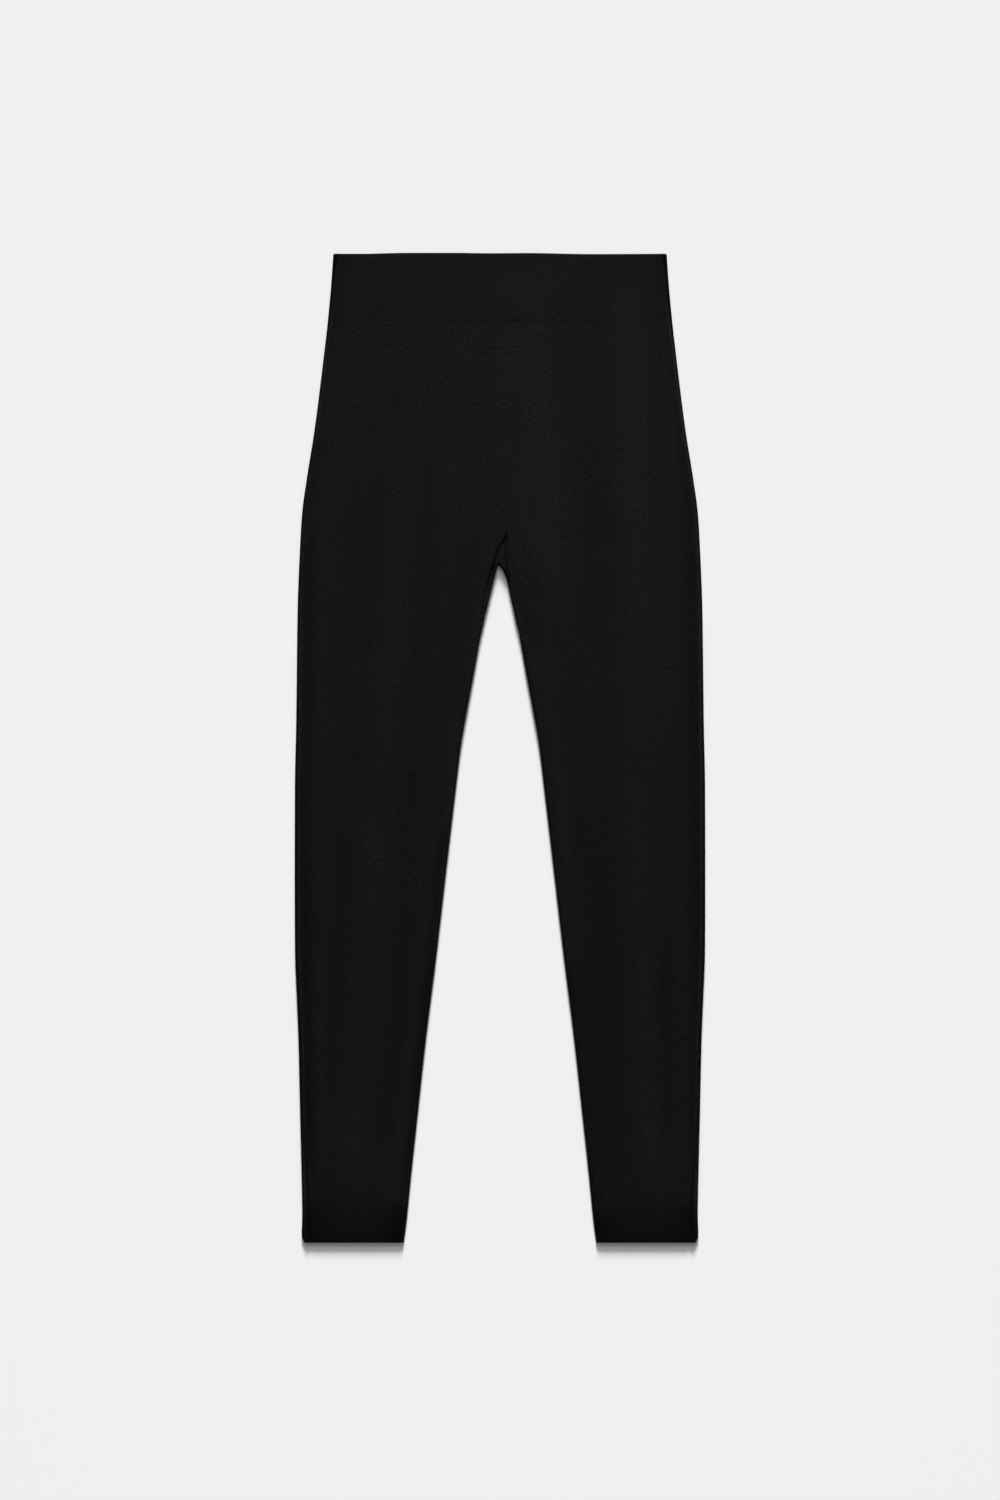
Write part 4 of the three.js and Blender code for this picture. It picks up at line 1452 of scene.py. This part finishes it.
band_height = BAND_LEVEL * MM
band_flat, band_back_flat = (band_width, band_height), (band_back_width, band_height)
SHEETS = [
    (waistband_front, "waistband_front", "band_knit", band_flat, "waistband_back_cloth"),
    (waistband_back, "waistband_back", "band_knit", band_back_flat, "floor"),
    (front_cloth, "front_panel", "body_knit", (front_width, panel_length), "back_cloth"),
    (back_cloth, "back_panel", "body_knit", (back_width, panel_length), "floor"),
]
for piece, node, slot, flat, under in SHEETS:
    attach(piece, "root")
    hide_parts(node)
    area = min(cut_area(piece), flat[0] * flat[1])
    print(f"{piece.name}: cut {flat[0]:.3f} by {flat[1]:.3f} m, {area:.4f} square metres")
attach(gusset_cloth, "root")
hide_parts("gusset")
for stitches in seams.values():
    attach(stitches, "root")

# %% [markdown]
# ## Floor and light
#
# The floor is plain and pale. The main light is a tall, narrow soft light far beyond the waist, low
# over the floor: it throws a short soft shadow below each hem and under the crotch, and none at the
# sides. A soft light overhead and an even surround fill the rest. A weak light from the right skims
# the cloth alone, as from a reflector by the table. It adds a little to the long folds, most of
# whose light and dark is painted into the cloth's colour.

# %% Make the floor
FLOOR_SIZE = 60
FLOOR_BELOW = 0.3 * MM
FLOOR_SEEN = 0.871
EVEN_LIGHT = 0.203
NEARING_LIGHT = 0.91
LIGHT_DISTANCE = 7.7
LIGHT_POWER = 2.7
EVENED_REACH = 0.9


def floor_material():
    """Pale grey, graded so that the floor looks even although its light comes from one end."""
    material, tree, shader = new_material("pale_floor")
    place = add_node(tree, "ShaderNodeTexCoord").outputs["Object"]
    apart = add_node(tree, "ShaderNodeSeparateXYZ")
    connect(tree, place, apart.inputs[0])
    along = math_node(tree, "MAXIMUM", apart.outputs["Y"], -EVENED_REACH)
    along = math_node(tree, "MINIMUM", along, EVENED_REACH)
    nearness = math_node(
        tree, "DIVIDE", LIGHT_DISTANCE, math_node(tree, "SUBTRACT", LIGHT_DISTANCE, along),
    )
    nearness = math_node(tree, "POWER", nearness, LIGHT_POWER)
    light = math_node(tree, "MULTIPLY_ADD", nearness, NEARING_LIGHT, EVEN_LIGHT)
    even = math_node(tree, "DIVIDE", 1.0, light)
    connect(tree, shaded_color(tree, (FLOOR_SEEN,) * 3, even), shader["Base Color"])
    shader["Roughness"].default_value = 1.0
    shader["Specular IOR Level"].default_value = 0.0
    return material


floor_mesh = bpy.data.meshes.new("floor")
half = FLOOR_SIZE / 2
around = ((-half, -half), (half, -half), (half, half), (-half, half))
floor_mesh.from_pydata([(x, y, -FLOOR_BELOW) for x, y in around], [], [(0, 1, 2, 3)])
floor_mesh.materials.append(floor_material())
floor = bpy.data.objects.new("floor", floor_mesh)
bpy.context.scene.collection.objects.link(floor)
print(f"a floor {FLOOR_SIZE} m wide")

# %% Make the lights
KEY_SHARE = 0.72
UPPER_SHARE = 0.21
TOP_SHARE = 0.07
SURROUND_SHARE = 0.14
SIDE_SHARE = 0.08


def soft_light(name, location, size, share):
    """An area light aimed at the middle, whose share is the light that a white floor gives back."""
    data = bpy.data.lights.new(name, "AREA")
    data.shape = "RECTANGLE"
    data.size, data.size_y = size
    place = Vector(location)
    data.energy = share * math.pi ** 2 * place.length_squared * place.length / place.z
    light = bpy.data.objects.new(name, data)
    light.location = place
    light.rotation_euler = place.to_track_quat("Z", "Y").to_euler()
    light.visible_camera = False
    bpy.context.scene.collection.objects.link(light)
    return light


key_light = soft_light("key_light", (0, LIGHT_DISTANCE, 2.06), (0.7, 1.5), KEY_SHARE)
upper_light = soft_light("upper_light", (0, 5.6, 3.5), (0.7, 2.9), UPPER_SHARE)
top_light = soft_light("top_light", (0, 0.6, 6.0), (3.0, 3.0), TOP_SHARE)
side_light = soft_light("side_light", (3.0, 0.4, 0.52), (0.5, 0.4), SIDE_SHARE)

cloth_only = bpy.data.collections.new("cloth_only")
for piece in [sheet[0] for sheet in SHEETS] + [gusset_cloth, *seams.values()]:
    cloth_only.objects.link(piece)
side_light.light_linking.receiver_collection = cloth_only

world = bpy.data.worlds.new("surround")
world.use_nodes = True
bpy.context.scene.world = world
surround = world.node_tree.nodes["Background"]
surround.inputs["Color"].default_value = (1, 1, 1, 1)
seen = add_node(world.node_tree, "ShaderNodeLightPath").outputs["Is Camera Ray"]
strength = math_node(
    world.node_tree, "MULTIPLY_ADD", seen, FLOOR_SEEN - SURROUND_SHARE, SURROUND_SHARE,
)
connect(world.node_tree, strength, surround.inputs["Strength"])

view_settings = bpy.context.scene.view_settings
view_settings.view_transform = "Standard"
view_settings.look = "None"
view_settings.exposure = 0
view_settings.gamma = 1
print("lights:", key_light.name, upper_light.name, top_light.name, side_light.name)

# %% [markdown]
# ## The solids' box
#
# The shells have to stay in the solids' box, or the model and its looks would part. The last line
# prints the solids' box.

# %% Finish
print("CAD", [round(v, 4) for v in cad_high - cad_low])
